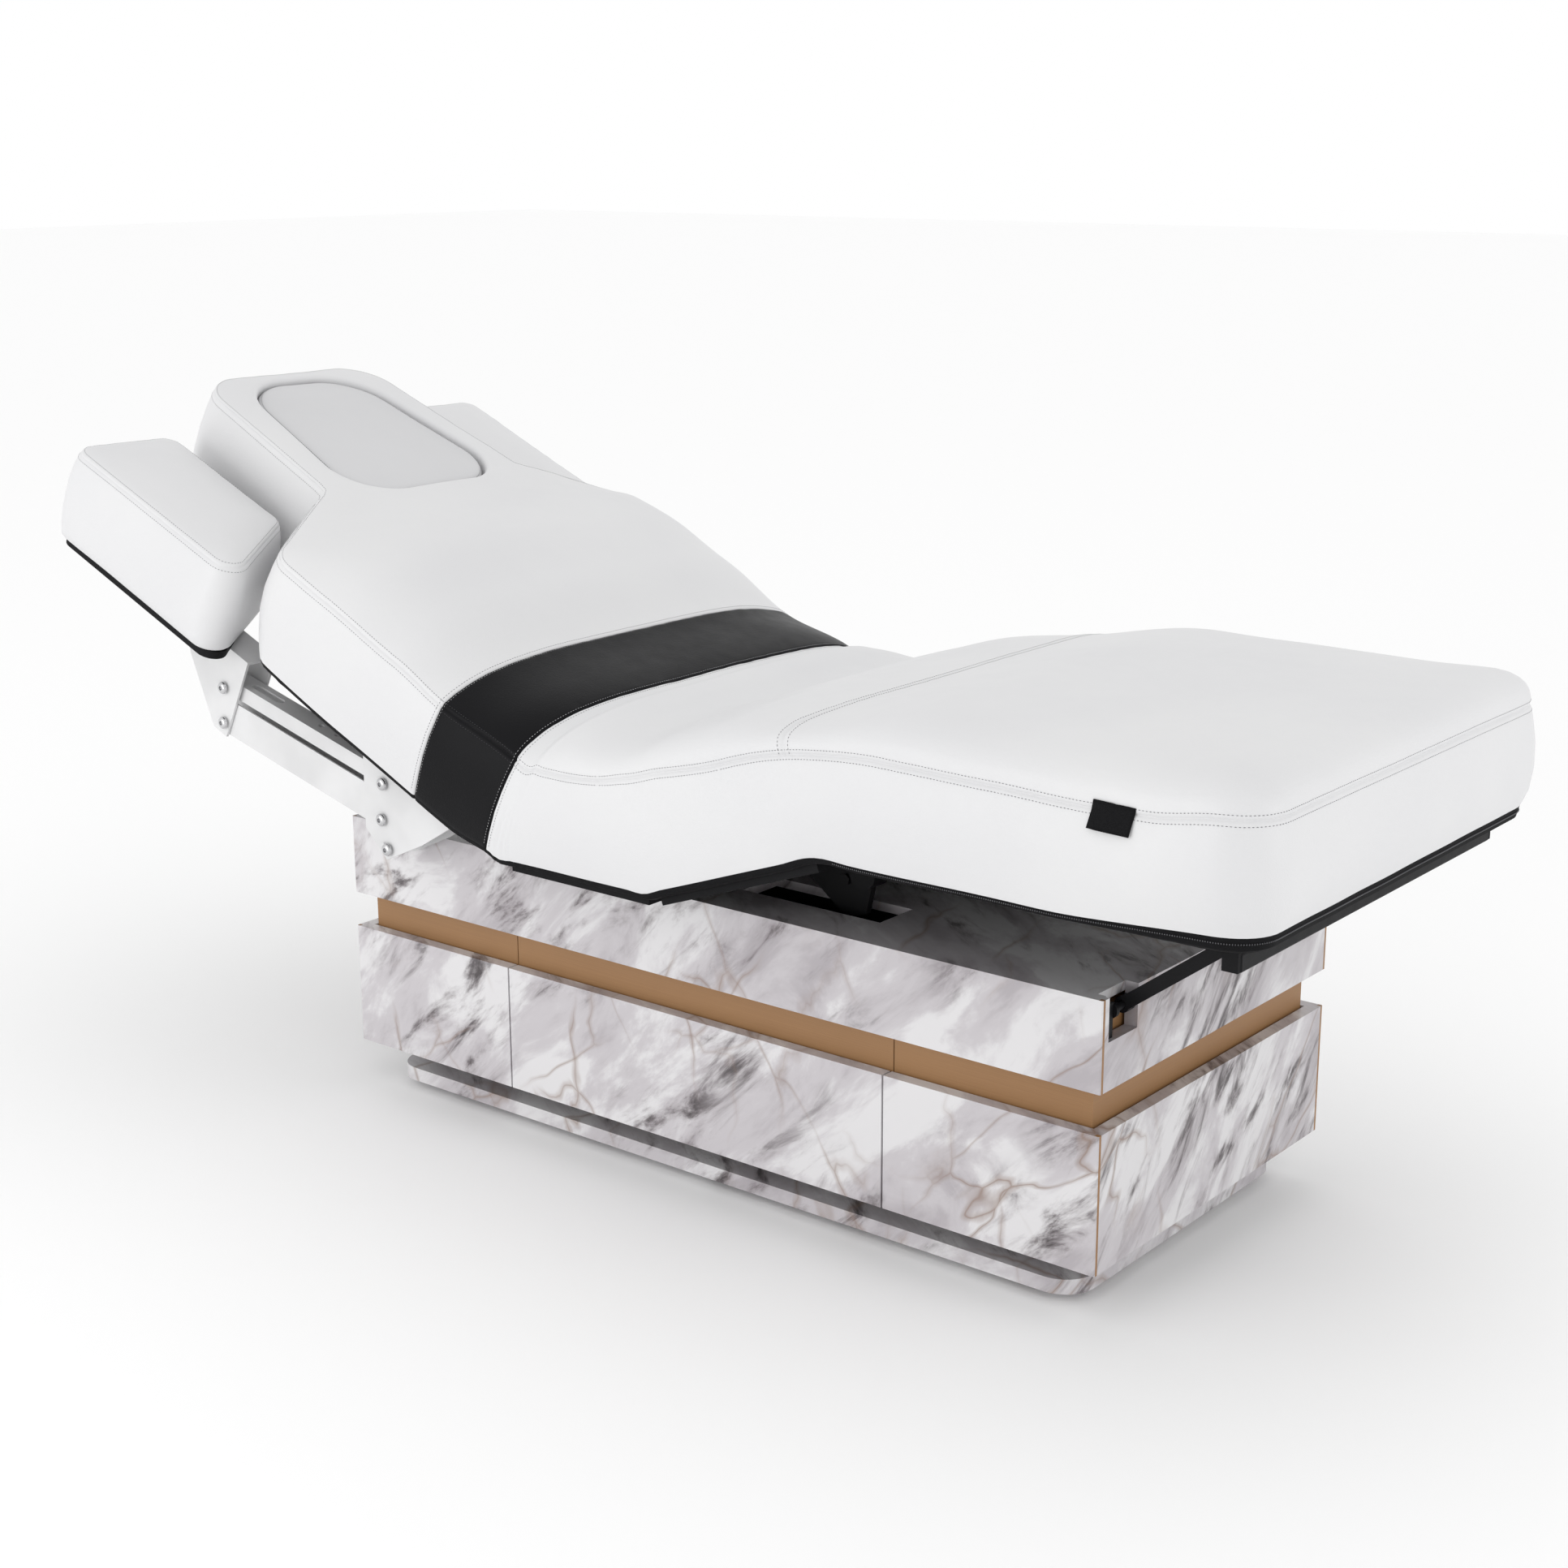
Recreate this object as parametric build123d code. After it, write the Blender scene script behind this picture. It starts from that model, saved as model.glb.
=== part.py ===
from build123d import *
import math
import os

# Treatment table: a low lifting cabinet base under a four section mattress.
# X runs from the head end to the foot end, Y across, Z up, in millimetres.
# The origin is on the floor under the middle of the base.

os.makedirs("parts", exist_ok=True)

# Base plate and feet
BASE_LENGTH = 1280.0
BASE_WIDTH = 569.0
PLATE_LENGTH = 1198.0
PLATE_WIDTH = 520.0
PLATE_THICKNESS = 20.0
PLATE_CORNER = 45.0
FOOT_HEIGHT = 12.0
FOOT_RADIUS = 22.0
FOOT_INSET = 75.0
TOE_GAP = 34.0
PLINTH_INSET = 80.0
PLINTH_WALL = 20.0

# Cabinet heights and boards
LOWER_HEIGHT = 179.0
REVEAL_HEIGHT = 52.0
SKIRT_HEIGHT = 116.0
PANEL = 18.0
CARCASS_BOARD = 12.0
PARTITION = 16.0
CARCASS_DROP = 4.0
TRIM = 6.0
TRIM_CHAMFER = 1.5
FRONT_GAP = 3.0
DRAWER_FRONT_WIDTH = 656.0

# Reveal boards and the telescoping cladding
REVEAL_INSET = 22.0
SHROUD_BOARD = 12.0
SHROUD_SEAM = 1.5
SHROUD_TOP_GAP = 13.0
RING_SHEET = 2.5
RING_CLEARANCE = 2.0
RING_LIFT_GAP = 5.0
RING_TOP_GAP = 10.0
RING_GLIDE_LENGTH = 60.0
RING_GLIDE_HEIGHT = 15.0
RING_GLIDE_SHARE = 0.6

# Drawers
DRAWER_WALL = 12.0
DRAWER_FLOOR = 8.0
RUNNER_WIDTH = 12.0
RUNNER_HEIGHT = 35.0
RUNNER_CLEARANCE = 1.0
RUNNER_LEVEL_SHARE = 0.42
DRAWER_LIFT = 6.0
DRAWER_HEADROOM = 9.0
DRAWER_BACK_GAP = 9.0

# Lifting columns
COLUMN_INSET = 185.0
COLUMN_OUTER = 110.0
COLUMN_WALL = 5.0
COLUMN_CLEARANCE = 2.0
COLUMN_OPENING_CLEARANCE = 3.0
COLUMN_TOP_PLATE = 160.0
COLUMN_TOP_THICKNESS = 6.0
COLUMN_TOP_GAP = 11.0
COLUMN_FLOOR_GAP = 10.0
COLUMN_GLIDE_WIDTH = 40.0
COLUMN_GLIDE_HEIGHT = 60.0
GLIDE_CLEARANCE = 0.3

# Deck and chassis
DECK = 12.0
RAIL_SPACING = 220.0
RAIL_WIDTH = 30.0
RAIL_HEIGHT = 40.0
RAIL_END_GAP = 20.0
CROSS_WIDTH = 30.0
CROSS_HEIGHT = 30.0
CROSS_INSET = 295.0
SLOT_START = 42.0
SLOT_LENGTH = 224.0
SLOT_INNER = 140.0
SLOT_WIDTH = 70.0
NOTCH_INNER_Y = 205.0
NOTCH_WIDTH = 65.0
NOTCH_DEPTH = 55.0

# Cushion decks and hinges
DECK_TO_BOARD = 10.0
SUPPORT_BOARD = 18.0
BARREL_RADIUS = 8.5
PIN_RADIUS = 4.0
PIN_CLEARANCE = 0.4
HINGE_EDGE = 10.5
KNUCKLE_LENGTH = 90.0
KNUCKLE_SPACING = 420.0
KNUCKLE_GAP = 0.5
SUPPORT_WIDTH = 720.0
RISER_LENGTH = 60.0
RISER_WIDTH = 40.0
RISER_X = 70.0
RISER_Y = 200.0
BACK_HINGE_X = -246.0
THIGH_HINGE_X = 20.0
BACK_ANGLE = 23.5
BACK_TOP_ANGLE = 60.0
THIGH_ANGLE = 20.0
THIGH_LENGTH = 289.0

# Mattress section
CUSHION_BASE_HALF = 360.0
CUSHION_WIDEST_HALF = 386.0
CUSHION_WIDEST_SHARE = 0.45
SEAM_HALF = 375.0
SEAM_HEIGHT = 139.0
EDGE_HALF = 338.0
EDGE_HEIGHT = 166.0
CROWN_HALF = 268.0
CROWN_EDGE_HEIGHT = 187.0
CROWN_HEIGHT = 197.0
SOFT_GAP = 0.3
FOLD_REACH = 450.0
SMOOTH_EDGE = 6.0

# Mattress plan
BAND_FOOT_EDGE = 26.0
BAND_HEAD_EDGE = 172.0
BACK_SWELL_AT = (300.0, 480.0, 655.0)
BACK_SWELL = (24.0, 30.0, 0.0)
SHOULDER_AT = 545.0
NECK_AT = 655.0
NECK_HALF = 208.0
HEAD_END = 1004.0
HEAD_HALF = 178.0
SHOULDER_ROUND = 65.0
HEAD_ROUND = 80.0
CUSHION_TOP_CUT = 24.0
CUSHION_FOOT_CUT = 10.0
SEAT_END_X = -25.0
THIGH_CUSHION_START = 80.0
KNEE_GAP = 20.0
FOOT_END_X = 888.0
FOOT_ROUND = 70.0

# Face insert
PLUG_NECK_AT = 615.0
PLUG_HEAD_AT = 965.0
PLUG_NECK_HALF = 158.0
PLUG_HEAD_HALF = 112.0
PLUG_NECK_ROUND = 85.0
PLUG_HEAD_ROUND = 95.0
PLUG_SINK = 10.0
PLUG_EDGE = 9.0
PLUG_CLEARANCE = 1.5
FACE_HOLE_LENGTH = 170.0
FACE_HOLE_WIDTH = 120.0
FACE_HOLE_AT = 800.0

# Support boards
BOARD_INSET = 26.0
BOARD_HEAD_HALF = 148.0
BOARD_NECK_HALF = 175.0
BOARD_SHOULDER_AT = 505.0
BOARD_NECK_AT = 625.0
BOARD_HEAD_AT = 975.0
BOARD_ROUND = 40.0
CALF_BOARD_HALF = 333.0
CALF_BOARD_END_X = 835.0
CALF_BAR = 20.0
TRACK_HEIGHT = 7.0
TRACK_WIDTH = 24.0
TRACK_START_X = 715.0

# Calf stay
STAY_PIVOT_INSET = 10.0
STAY_PIVOT_DROP = 23.0
STAY_LENGTH = 190.0
STAY_Y = 218.0
STAY_WIDTH = 16.0
STAY_EYE_RADIUS = 10.0
STAY_ARM_HALF = 8.5
STAY_TUBE_RADIUS = 9.0
STAY_PIN_RADIUS = 5.0
STAY_TRACK_GAP = 2.0
STAY_BLOCK_INSET = 20.0
STAY_BLOCK_DEPTH = 15.0
STAY_RING_RADIUS = 9.5
STAY_RING_LENGTH = 6.0

# Thigh lever
LEVER_Y = 175.0
LEVER_WIDTH = 10.0
LEVER_TOP_START = 95.0
LEVER_TOP_END = 235.0
LEVER_TIP_AT = 165.0
LEVER_DROP = 92.0
LEVER_TIP_HALF = 16.0
LEVER_BOSS_RADIUS = 20.0
LEVER_BOSS_LENGTH = 34.0
LEVER_BOSS_AT = 202.0
LEVER_BOSS_DROP = 40.0
LEVER_BOLT_RADIUS = 8.0
LEVER_BOLT_HEAD = 4.0
LEVER_BOLT_DROP = 42.0

# Arm rest linkage, measured in the frame of the back
ARM_OUTER_Y = 346.0
ARM_PLATE = 4.0
ARM_PLATE_GAP = 1.0
ARM_INNER_Y = 292.0
ARM_LINK_WALL = 2.5
ARM_NEST_GAP = 1.0
ARM_LOWER_AT = 246.0
ARM_LOWER_DROP = 95.0
ARM_BOLT_SHIFT = 17.0
ARM_BOLT_RISE = 50.5
ARM_LINK_LENGTH = 350.0
ARM_LINK_ANGLE = -8.4
ARM_PIN_RADIUS = 5.0
ARM_PIN_CLEARANCE = 0.3
ARM_BOLT_HEAD_RADIUS = 8.5
ARM_BOLT_HEAD = 4.0
ARM_NUT_RADIUS = 9.0
ARM_UPPER_TOP = 15.0
ARM_UPPER_FOOT = 8.0
ARM_LOWER_TOP = 38.0
ARM_LOWER_FOOT = 15.0
ARM_LINK_INSET = 9.0
ARM_LINK_END = 12.0
ARM_SLOT_LENGTH = 66.0
ARM_SLOT_WIDTH = 14.0
ARM_SLOT_SHARE = 0.80
ARM_HOLE_RADIUS = 4.5
ARM_HOLE_SHARES = (0.36, 0.46)
BRACKET_TOP_HEAD = 316.0
BRACKET_TOP_FOOT = 108.0
BRACKET_HEEL_AT = 160.0
BRACKET_HEEL_DROP = 82.0
BRACKET_TOE_AT = 214.0
BRACKET_TOE_DROP = 143.0
BRACKET_SIDE_AT = 268.0
BRACKET_SIDE_DROP = 122.0
BRACKET_NUT_AT = 222.0
BRACKET_NUT_DROP = 128.0
BRACKET_FLANGE = 4.0
END_TOP_FOOT = -22.0
END_TOP_HEAD = 130.0
END_MID_HEAD = 98.0
END_MID_DROP = 14.0
END_TIP_HALF = 15.0
END_TIP_DROP = 16.0
BOSS_RADIUS = 7.0
BOSS_SHARE = 0.84

# Arm rest pads
PAD_FOOT_OUTER_AT = 556.0
PAD_FOOT_INNER_AT = 684.0
PAD_HEAD_AT = 972.0
PAD_INNER_Y = 216.0
PAD_OUTER_Y = 416.0
PAD_BASE_DROP = 17.0
PAD_SEAM_HEIGHT = 142.0
PAD_CROWN_HEIGHT = 162.0
PAD_ROUND = 38.0
PAD_TOP_CUT = 24.0
PAD_BOARD = 12.0
PAD_BOARD_INSET = 14.0

# Mains inlet
INLET_WIDTH = 50.0
INLET_HEIGHT = 32.0
INLET_DEPTH = 24.0
INLET_FLANGE = 3.0
INLET_FLANGE_MARGIN = 6.0
INLET_WALL = 3.0
INLET_Y = 150.0
INLET_LEVEL_SHARE = 0.5
PRONG_WIDTH = 3.0
PRONG_LENGTH = 10.0
PRONG_SPACING = 12.0

# Levels and faces that follow from the sizes above
plate_bottom = FOOT_HEIGHT
plate_top = plate_bottom + PLATE_THICKNESS
lower_bottom = plate_top + TOE_GAP
lower_top = lower_bottom + LOWER_HEIGHT
skirt_bottom = lower_top + REVEAL_HEIGHT
skirt_top = skirt_bottom + SKIRT_HEIGHT
deck_bottom = skirt_top - DECK
half_length = BASE_LENGTH / 2
half_width = BASE_WIDTH / 2
inner_x = half_length - PANEL
inner_y = half_width - PANEL
carcass_top = lower_top - CARCASS_DROP
shroud_x = half_length - REVEAL_INSET
shroud_y = half_width - REVEAL_INSET
shroud_top = deck_bottom - SHROUD_TOP_GAP
ring_x = shroud_x - SHROUD_BOARD - RING_CLEARANCE
ring_y = shroud_y - SHROUD_BOARD - RING_CLEARANCE
ring_bottom = carcass_top + RING_LIFT_GAP
top_ring_x = ring_x - RING_SHEET - RING_CLEARANCE
top_ring_y = ring_y - RING_SHEET - RING_CLEARANCE
support_z = skirt_top + DECK_TO_BOARD + SUPPORT_BOARD / 2
cushion_z = SUPPORT_BOARD / 2
thigh_turn = math.radians(THIGH_ANGLE)
knee_x = THIGH_HINGE_X + THIGH_LENGTH * math.cos(thigh_turn)
knee_z = support_z + THIGH_LENGTH * math.sin(thigh_turn)
column_x = half_length - COLUMN_INSET
cross_inner_x = half_length - CROSS_INSET
stay_x = half_length - STAY_PIVOT_INSET
support_y = SUPPORT_WIDTH / 2
bay_half = DRAWER_FRONT_WIDTH / 2 - PARTITION / 2

back_place = Pos(BACK_HINGE_X, 0, support_z) * Rot(0, BACK_ANGLE, 0)
thigh_place = Pos(THIGH_HINGE_X, 0, support_z) * Rot(0, -THIGH_ANGLE, 0)
calf_place = Pos(knee_x, 0, knee_z)


def block(x0, x1, y0, y1, z0, z1):
    box = Box(abs(x1 - x0), abs(y1 - y0), abs(z1 - z0))
    return Pos((x0 + x1) / 2, (y0 + y1) / 2, (z0 + z1) / 2) * box


def both_sides(shape):
    return [shape, mirror(shape, about=Plane.XZ)]


def rod_y(radius, x, z, y0, y1):
    length = abs(y1 - y0)
    return Pos(x, (y0 + y1) / 2, z) * Rot(90, 0, 0) * Cylinder(radius, length)


def hex_head(radius, length):
    # A hexagon nut or bolt head that stands out along minus Y
    return Rot(90, 0, 0) * extrude(RegularPolygon(radius, 6), amount=length)


def tube_z(outer, wall, x, z0, z1):
    half = outer / 2
    hole = half - wall
    body = block(x - half, x + half, -half, half, z0, z1)
    return body - block(x - hole, x + hole, -hole, hole, z0, z1)


def plan_face(points, rounds):
    # A closed outline in X and Y, each corner rounded by its own radius
    outline = make_face(Polyline(*points, close=True))
    for (x, y), radius in zip(points, rounds):
        if radius:
            corner = outline.vertices().sort_by_distance((x, y, 0))[0]
            outline = fillet(corner, radius)
    return outline


def plan_solid(points, rounds, z0, z1):
    return Pos(0, 0, z0) * extrude(plan_face(points, rounds), amount=z1 - z0)


def side_plate(points, y0, y1):
    # A plate whose outline lies in X and Z
    outline = make_face(Polyline(*[(x, 0, z) for x, z in points], close=True))
    return Pos(0, max(y0, y1), 0) * extrude(outline, amount=abs(y1 - y0), dir=(0, -1, 0))


def save(shape, name):
    export_step(shape, f"parts/{name}.step")


def group(shapes):
    return Compound(children=list(shapes))


# Base plate, feet and carcass
plate = Box(PLATE_LENGTH, PLATE_WIDTH, PLATE_THICKNESS)
plate = fillet(plate.edges().filter_by(Axis.Z), PLATE_CORNER)
plate = Pos(0, 0, (plate_bottom + plate_top) / 2) * plate
save(plate, "base_plate")

foot_x = PLATE_LENGTH / 2 - FOOT_INSET
foot_y = PLATE_WIDTH / 2 - FOOT_INSET
pad = Cylinder(FOOT_RADIUS, FOOT_HEIGHT)
feet = [
    Pos(x, y, FOOT_HEIGHT / 2) * pad
    for x in (-foot_x, foot_x)
    for y in (-foot_y, foot_y)
]
feet.append(Pos(0, 0, FOOT_HEIGHT / 2) * pad)
save(group(feet), "feet")

plinth_x = half_length - PLINTH_INSET
plinth_y = half_width - PLINTH_INSET
opening = COLUMN_OUTER / 2 + COLUMN_OPENING_CLEARANCE
carcass = block(-plinth_x, plinth_x, -plinth_y, plinth_y, plate_top, lower_bottom)
carcass -= block(
    PLINTH_WALL - plinth_x,
    plinth_x - PLINTH_WALL,
    PLINTH_WALL - plinth_y,
    plinth_y - PLINTH_WALL,
    plate_top,
    lower_bottom,
)
for z0 in (lower_bottom, carcass_top - CARCASS_BOARD):
    carcass += block(-inner_x, inner_x, -inner_y, inner_y, z0, z0 + CARCASS_BOARD)
for side in (-1, 1):
    x0 = side * bay_half
    x1 = side * (bay_half + PARTITION)
    carcass += block(x0, x1, -inner_y, inner_y, lower_bottom, carcass_top)
divider = CARCASS_BOARD / 2
carcass += block(-bay_half, bay_half, -divider, divider, lower_bottom, carcass_top)
for x in (-column_x, column_x):
    carcass -= block(x - opening, x + opening, -opening, opening, 0, carcass_top)
save(carcass, "carcass")

runner_z = lower_bottom + LOWER_HEIGHT * RUNNER_LEVEL_SHARE
drawer_half = bay_half - RUNNER_WIDTH - RUNNER_CLEARANCE
drawer_back = CARCASS_BOARD / 2 + DRAWER_BACK_GAP
near_runners = [
    block(
        side * (bay_half - RUNNER_WIDTH),
        side * bay_half,
        -inner_y,
        -drawer_back,
        runner_z,
        runner_z + RUNNER_HEIGHT,
    )
    for side in (-1, 1)
]
runners = [piece for runner in near_runners for piece in both_sides(runner)]
save(group(runners), "drawer_runners")

# Fixed fronts, drawers and end panels
front_inner = DRAWER_FRONT_WIDTH / 2
front_outer = half_length - TRIM
head_front = block(
    -front_outer, -front_inner, -half_width, -inner_y, lower_bottom, lower_top
)
foot_front = mirror(head_front, about=Plane.YZ)
fronts = {"head": head_front, "foot": foot_front}
for name, front in fronts.items():
    near, far = both_sides(front)
    save(near, f"front_near_{name}")
    save(far, f"front_far_{name}")

drawer_front_half = front_inner - FRONT_GAP
drawer_front = block(
    -drawer_front_half,
    drawer_front_half,
    -half_width,
    -inner_y,
    lower_bottom,
    lower_top,
)
drawer_bottom = lower_bottom + CARCASS_BOARD + DRAWER_LIFT
drawer_top = carcass_top - CARCASS_BOARD - DRAWER_HEADROOM
drawer_box = block(
    -drawer_half, drawer_half, -inner_y, -drawer_back, drawer_bottom, drawer_top
)
drawer_box -= block(
    DRAWER_WALL - drawer_half,
    drawer_half - DRAWER_WALL,
    DRAWER_WALL - inner_y,
    -drawer_back - DRAWER_WALL,
    drawer_bottom + DRAWER_FLOOR,
    drawer_top,
)
for shape, name in ((drawer_front, "front"), (drawer_box, "box")):
    near, far = both_sides(shape)
    save(near, f"drawer_near_{name}")
    save(far, f"drawer_far_{name}")


def end_board(z0, z1):
    # A board at the foot end with a lip that covers the side boards' ends
    board = block(inner_x, half_length, -inner_y, inner_y, z0, z1)
    lip_y = half_width - TRIM
    return board + block(half_length - TRIM, half_length, -lip_y, lip_y, z0, z1)


def corner_trims(z0, z1):
    trim = block(
        half_length - TRIM, half_length, -half_width, TRIM - half_width, z0, z1
    )
    outer = trim.edges().filter_by(Axis.Z).sort_by_distance((half_length, -half_width, z0))
    trim = chamfer(outer[0], TRIM_CHAMFER)
    foot_pair = both_sides(trim)
    return foot_pair + [mirror(piece, about=Plane.YZ) for piece in foot_pair]


end_foot = end_board(lower_bottom, lower_top)
end_head = mirror(end_foot, about=Plane.YZ)
inlet_z = lower_bottom + LOWER_HEIGHT * INLET_LEVEL_SHARE
inlet_y0 = -INLET_Y - INLET_WIDTH / 2
inlet_y1 = -INLET_Y + INLET_WIDTH / 2
inlet_z0 = inlet_z - INLET_HEIGHT / 2
inlet_z1 = inlet_z + INLET_HEIGHT / 2
end_head -= block(-half_length, -inner_x, inlet_y0, inlet_y1, inlet_z0, inlet_z1)
save(end_foot, "end_panel_foot")
save(end_head, "end_panel_head")
save(group(corner_trims(lower_bottom, lower_top)), "corner_trims_lower")

# Mains inlet in the head end panel
inlet_in = INLET_DEPTH - half_length
inlet = block(-half_length, inlet_in, inlet_y0, inlet_y1, inlet_z0, inlet_z1)
inlet += block(
    -half_length - INLET_FLANGE,
    -half_length,
    inlet_y0 - INLET_FLANGE_MARGIN,
    inlet_y1 + INLET_FLANGE_MARGIN,
    inlet_z0 - INLET_FLANGE_MARGIN,
    inlet_z1 + INLET_FLANGE_MARGIN,
)
inlet -= block(
    -half_length - INLET_FLANGE,
    inlet_in - INLET_WALL,
    inlet_y0 + INLET_WALL,
    inlet_y1 - INLET_WALL,
    inlet_z0 + INLET_WALL,
    inlet_z1 - INLET_WALL,
)
for step in (-1, 0, 1):
    y = step * PRONG_SPACING - INLET_Y
    inlet += block(
        inlet_in - INLET_WALL - PRONG_LENGTH,
        inlet_in,
        y - PRONG_WIDTH / 2,
        y + PRONG_WIDTH / 2,
        inlet_z - PRONG_WIDTH,
        inlet_z + PRONG_WIDTH,
    )
save(inlet, "mains_inlet")

# Reveal boards
shroud_inner_x = shroud_x - SHROUD_BOARD
shroud_inner_y = shroud_y - SHROUD_BOARD
seam_x = front_inner
side_spans = (
    (-shroud_x, -seam_x - SHROUD_SEAM / 2),
    (-seam_x + SHROUD_SEAM / 2, seam_x - SHROUD_SEAM / 2),
    (seam_x + SHROUD_SEAM / 2, shroud_x),
)
near_boards = [
    block(x0, x1, -shroud_y, -shroud_inner_y, carcass_top, shroud_top)
    for x0, x1 in side_spans
]
side_boards = [piece for board in near_boards for piece in both_sides(board)]
foot_board = block(
    shroud_inner_x, shroud_x, -shroud_inner_y, shroud_inner_y, carcass_top, shroud_top
)
save(group(side_boards), "reveal_sides")
save(group([foot_board, mirror(foot_board, about=Plane.YZ)]), "reveal_ends")


# Telescoping cladding rings
def sheet_ring(x, y, z0, z1):
    inside_x = x - RING_SHEET
    inside_y = y - RING_SHEET
    ring = block(-x, x, -y, y, z0, z1)
    return ring - block(-inside_x, inside_x, -inside_y, inside_y, z0, z1)


ring_top = deck_bottom - RING_TOP_GAP
glide_thickness = RING_CLEARANCE - GLIDE_CLEARANCE
ring = sheet_ring(ring_x, ring_y, ring_bottom, ring_top)
for share in (-RING_GLIDE_SHARE, RING_GLIDE_SHARE):
    x0 = ring_x * share - RING_GLIDE_LENGTH / 2
    x1 = ring_x * share + RING_GLIDE_LENGTH / 2
    outer_y = ring_y + glide_thickness
    inner_glide_y = ring_y - RING_SHEET - glide_thickness
    low = block(x0, x1, -outer_y, -ring_y, ring_bottom, ring_bottom + RING_GLIDE_HEIGHT)
    high = block(
        x0, x1, RING_SHEET - ring_y, -inner_glide_y, ring_top - RING_GLIDE_HEIGHT, ring_top
    )
    for glide in both_sides(low) + both_sides(high):
        ring += glide
save(ring, "cladding_ring")
save(sheet_ring(top_ring_x, top_ring_y, ring_bottom, deck_bottom), "cladding_top_ring")

# Lifting columns
column_inner = COLUMN_OUTER - COLUMN_WALL * 2 - COLUMN_CLEARANCE * 2
top_plate_z = deck_bottom - COLUMN_TOP_THICKNESS
plate_half = COLUMN_TOP_PLATE / 2


def column_glides(x):
    # Low friction pads round the foot of the moving tube
    reach = column_inner / 2 + COLUMN_CLEARANCE - GLIDE_CLEARANCE
    half = COLUMN_GLIDE_WIDTH / 2
    z0 = plate_top + COLUMN_FLOOR_GAP
    z1 = z0 + COLUMN_GLIDE_HEIGHT
    pads = block(x - reach, x + reach, -half, half, z0, z1)
    pads += block(x - half, x + half, -reach, reach, z0, z1)
    hollow = column_inner / 2 - COLUMN_WALL
    return pads - block(x - hollow, x + hollow, -hollow, hollow, z0, z1)


for name, x in (("head", -column_x), ("foot", column_x)):
    outer = tube_z(COLUMN_OUTER, COLUMN_WALL, x, plate_top, top_plate_z - COLUMN_TOP_GAP)
    save(outer, f"column_{name}_outer")
    moving = tube_z(
        column_inner, COLUMN_WALL, x, plate_top + COLUMN_FLOOR_GAP, top_plate_z
    )
    moving += block(
        x - plate_half, x + plate_half, -plate_half, plate_half, top_plate_z, deck_bottom
    )
    moving += column_glides(x)
    save(moving, f"column_{name}_inner")

# Chassis, deck and skirt
rail_x = top_ring_x - RAIL_END_GAP
rail_y0 = RAIL_SPACING / 2 - RAIL_WIDTH / 2
rail_y1 = RAIL_SPACING / 2 + RAIL_WIDTH / 2
cross_y = top_ring_y - RING_SHEET
frame = block(-rail_x, rail_x, rail_y0, rail_y1, deck_bottom - RAIL_HEIGHT, deck_bottom)
frame += mirror(frame, about=Plane.XZ)
for x in (-cross_inner_x, cross_inner_x, CROSS_WIDTH / 2 - rail_x, rail_x - CROSS_WIDTH / 2):
    x0 = x - CROSS_WIDTH / 2
    x1 = x + CROSS_WIDTH / 2
    frame += block(x0, x1, -cross_y, cross_y, deck_bottom - CROSS_HEIGHT, deck_bottom)
for x in (-column_x, column_x):
    x0 = x - plate_half
    x1 = x + plate_half
    frame -= block(x0, x1, -plate_half, plate_half, top_plate_z, deck_bottom)
    keep = COLUMN_OUTER / 2 + COLUMN_OPENING_CLEARANCE
    frame -= block(x - keep, x + keep, -keep, keep, 0, deck_bottom)
save(frame, "chassis_frame")

deck = block(-inner_x, inner_x, -inner_y, inner_y, deck_bottom, skirt_top)
slot = block(
    SLOT_START,
    SLOT_START + SLOT_LENGTH,
    -SLOT_INNER - SLOT_WIDTH,
    -SLOT_INNER,
    deck_bottom,
    skirt_top,
)
for cut in both_sides(slot):
    deck -= cut
save(deck, "deck")

skirt_near = block(
    -front_outer, front_outer, -half_width, -inner_y, skirt_bottom, skirt_top
)
near, far = both_sides(skirt_near)
save(near, "skirt_near")
save(far, "skirt_far")
skirt_foot = end_board(skirt_bottom, skirt_top)
save(mirror(skirt_foot, about=Plane.YZ), "skirt_head")
notch = block(
    inner_x,
    half_length,
    -NOTCH_INNER_Y - NOTCH_WIDTH,
    -NOTCH_INNER_Y,
    skirt_top - NOTCH_DEPTH,
    skirt_top,
)
for cut in both_sides(notch):
    skirt_foot -= cut
save(skirt_foot, "skirt_foot")
save(group(corner_trims(skirt_bottom, skirt_top)), "corner_trims_upper")

# Calf stay and its two brackets in the notches
stay_z = skirt_top - STAY_PIVOT_DROP
stay_inner_y = STAY_Y - STAY_WIDTH / 2
stay_outer_y = STAY_Y + STAY_WIDTH / 2
bracket_y = inner_y - STAY_BLOCK_DEPTH
bracket = block(
    half_length - STAY_BLOCK_INSET,
    front_outer,
    -inner_y,
    -bracket_y,
    skirt_top - NOTCH_DEPTH,
    deck_bottom,
)
bracket += rod_y(STAY_RING_RADIUS, stay_x, stay_z, -bracket_y, STAY_RING_LENGTH - bracket_y)
bracket += rod_y(STAY_PIN_RADIUS, stay_x, stay_z, -bracket_y, -stay_inner_y)
save(group(both_sides(bracket)), "stay_brackets")

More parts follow.
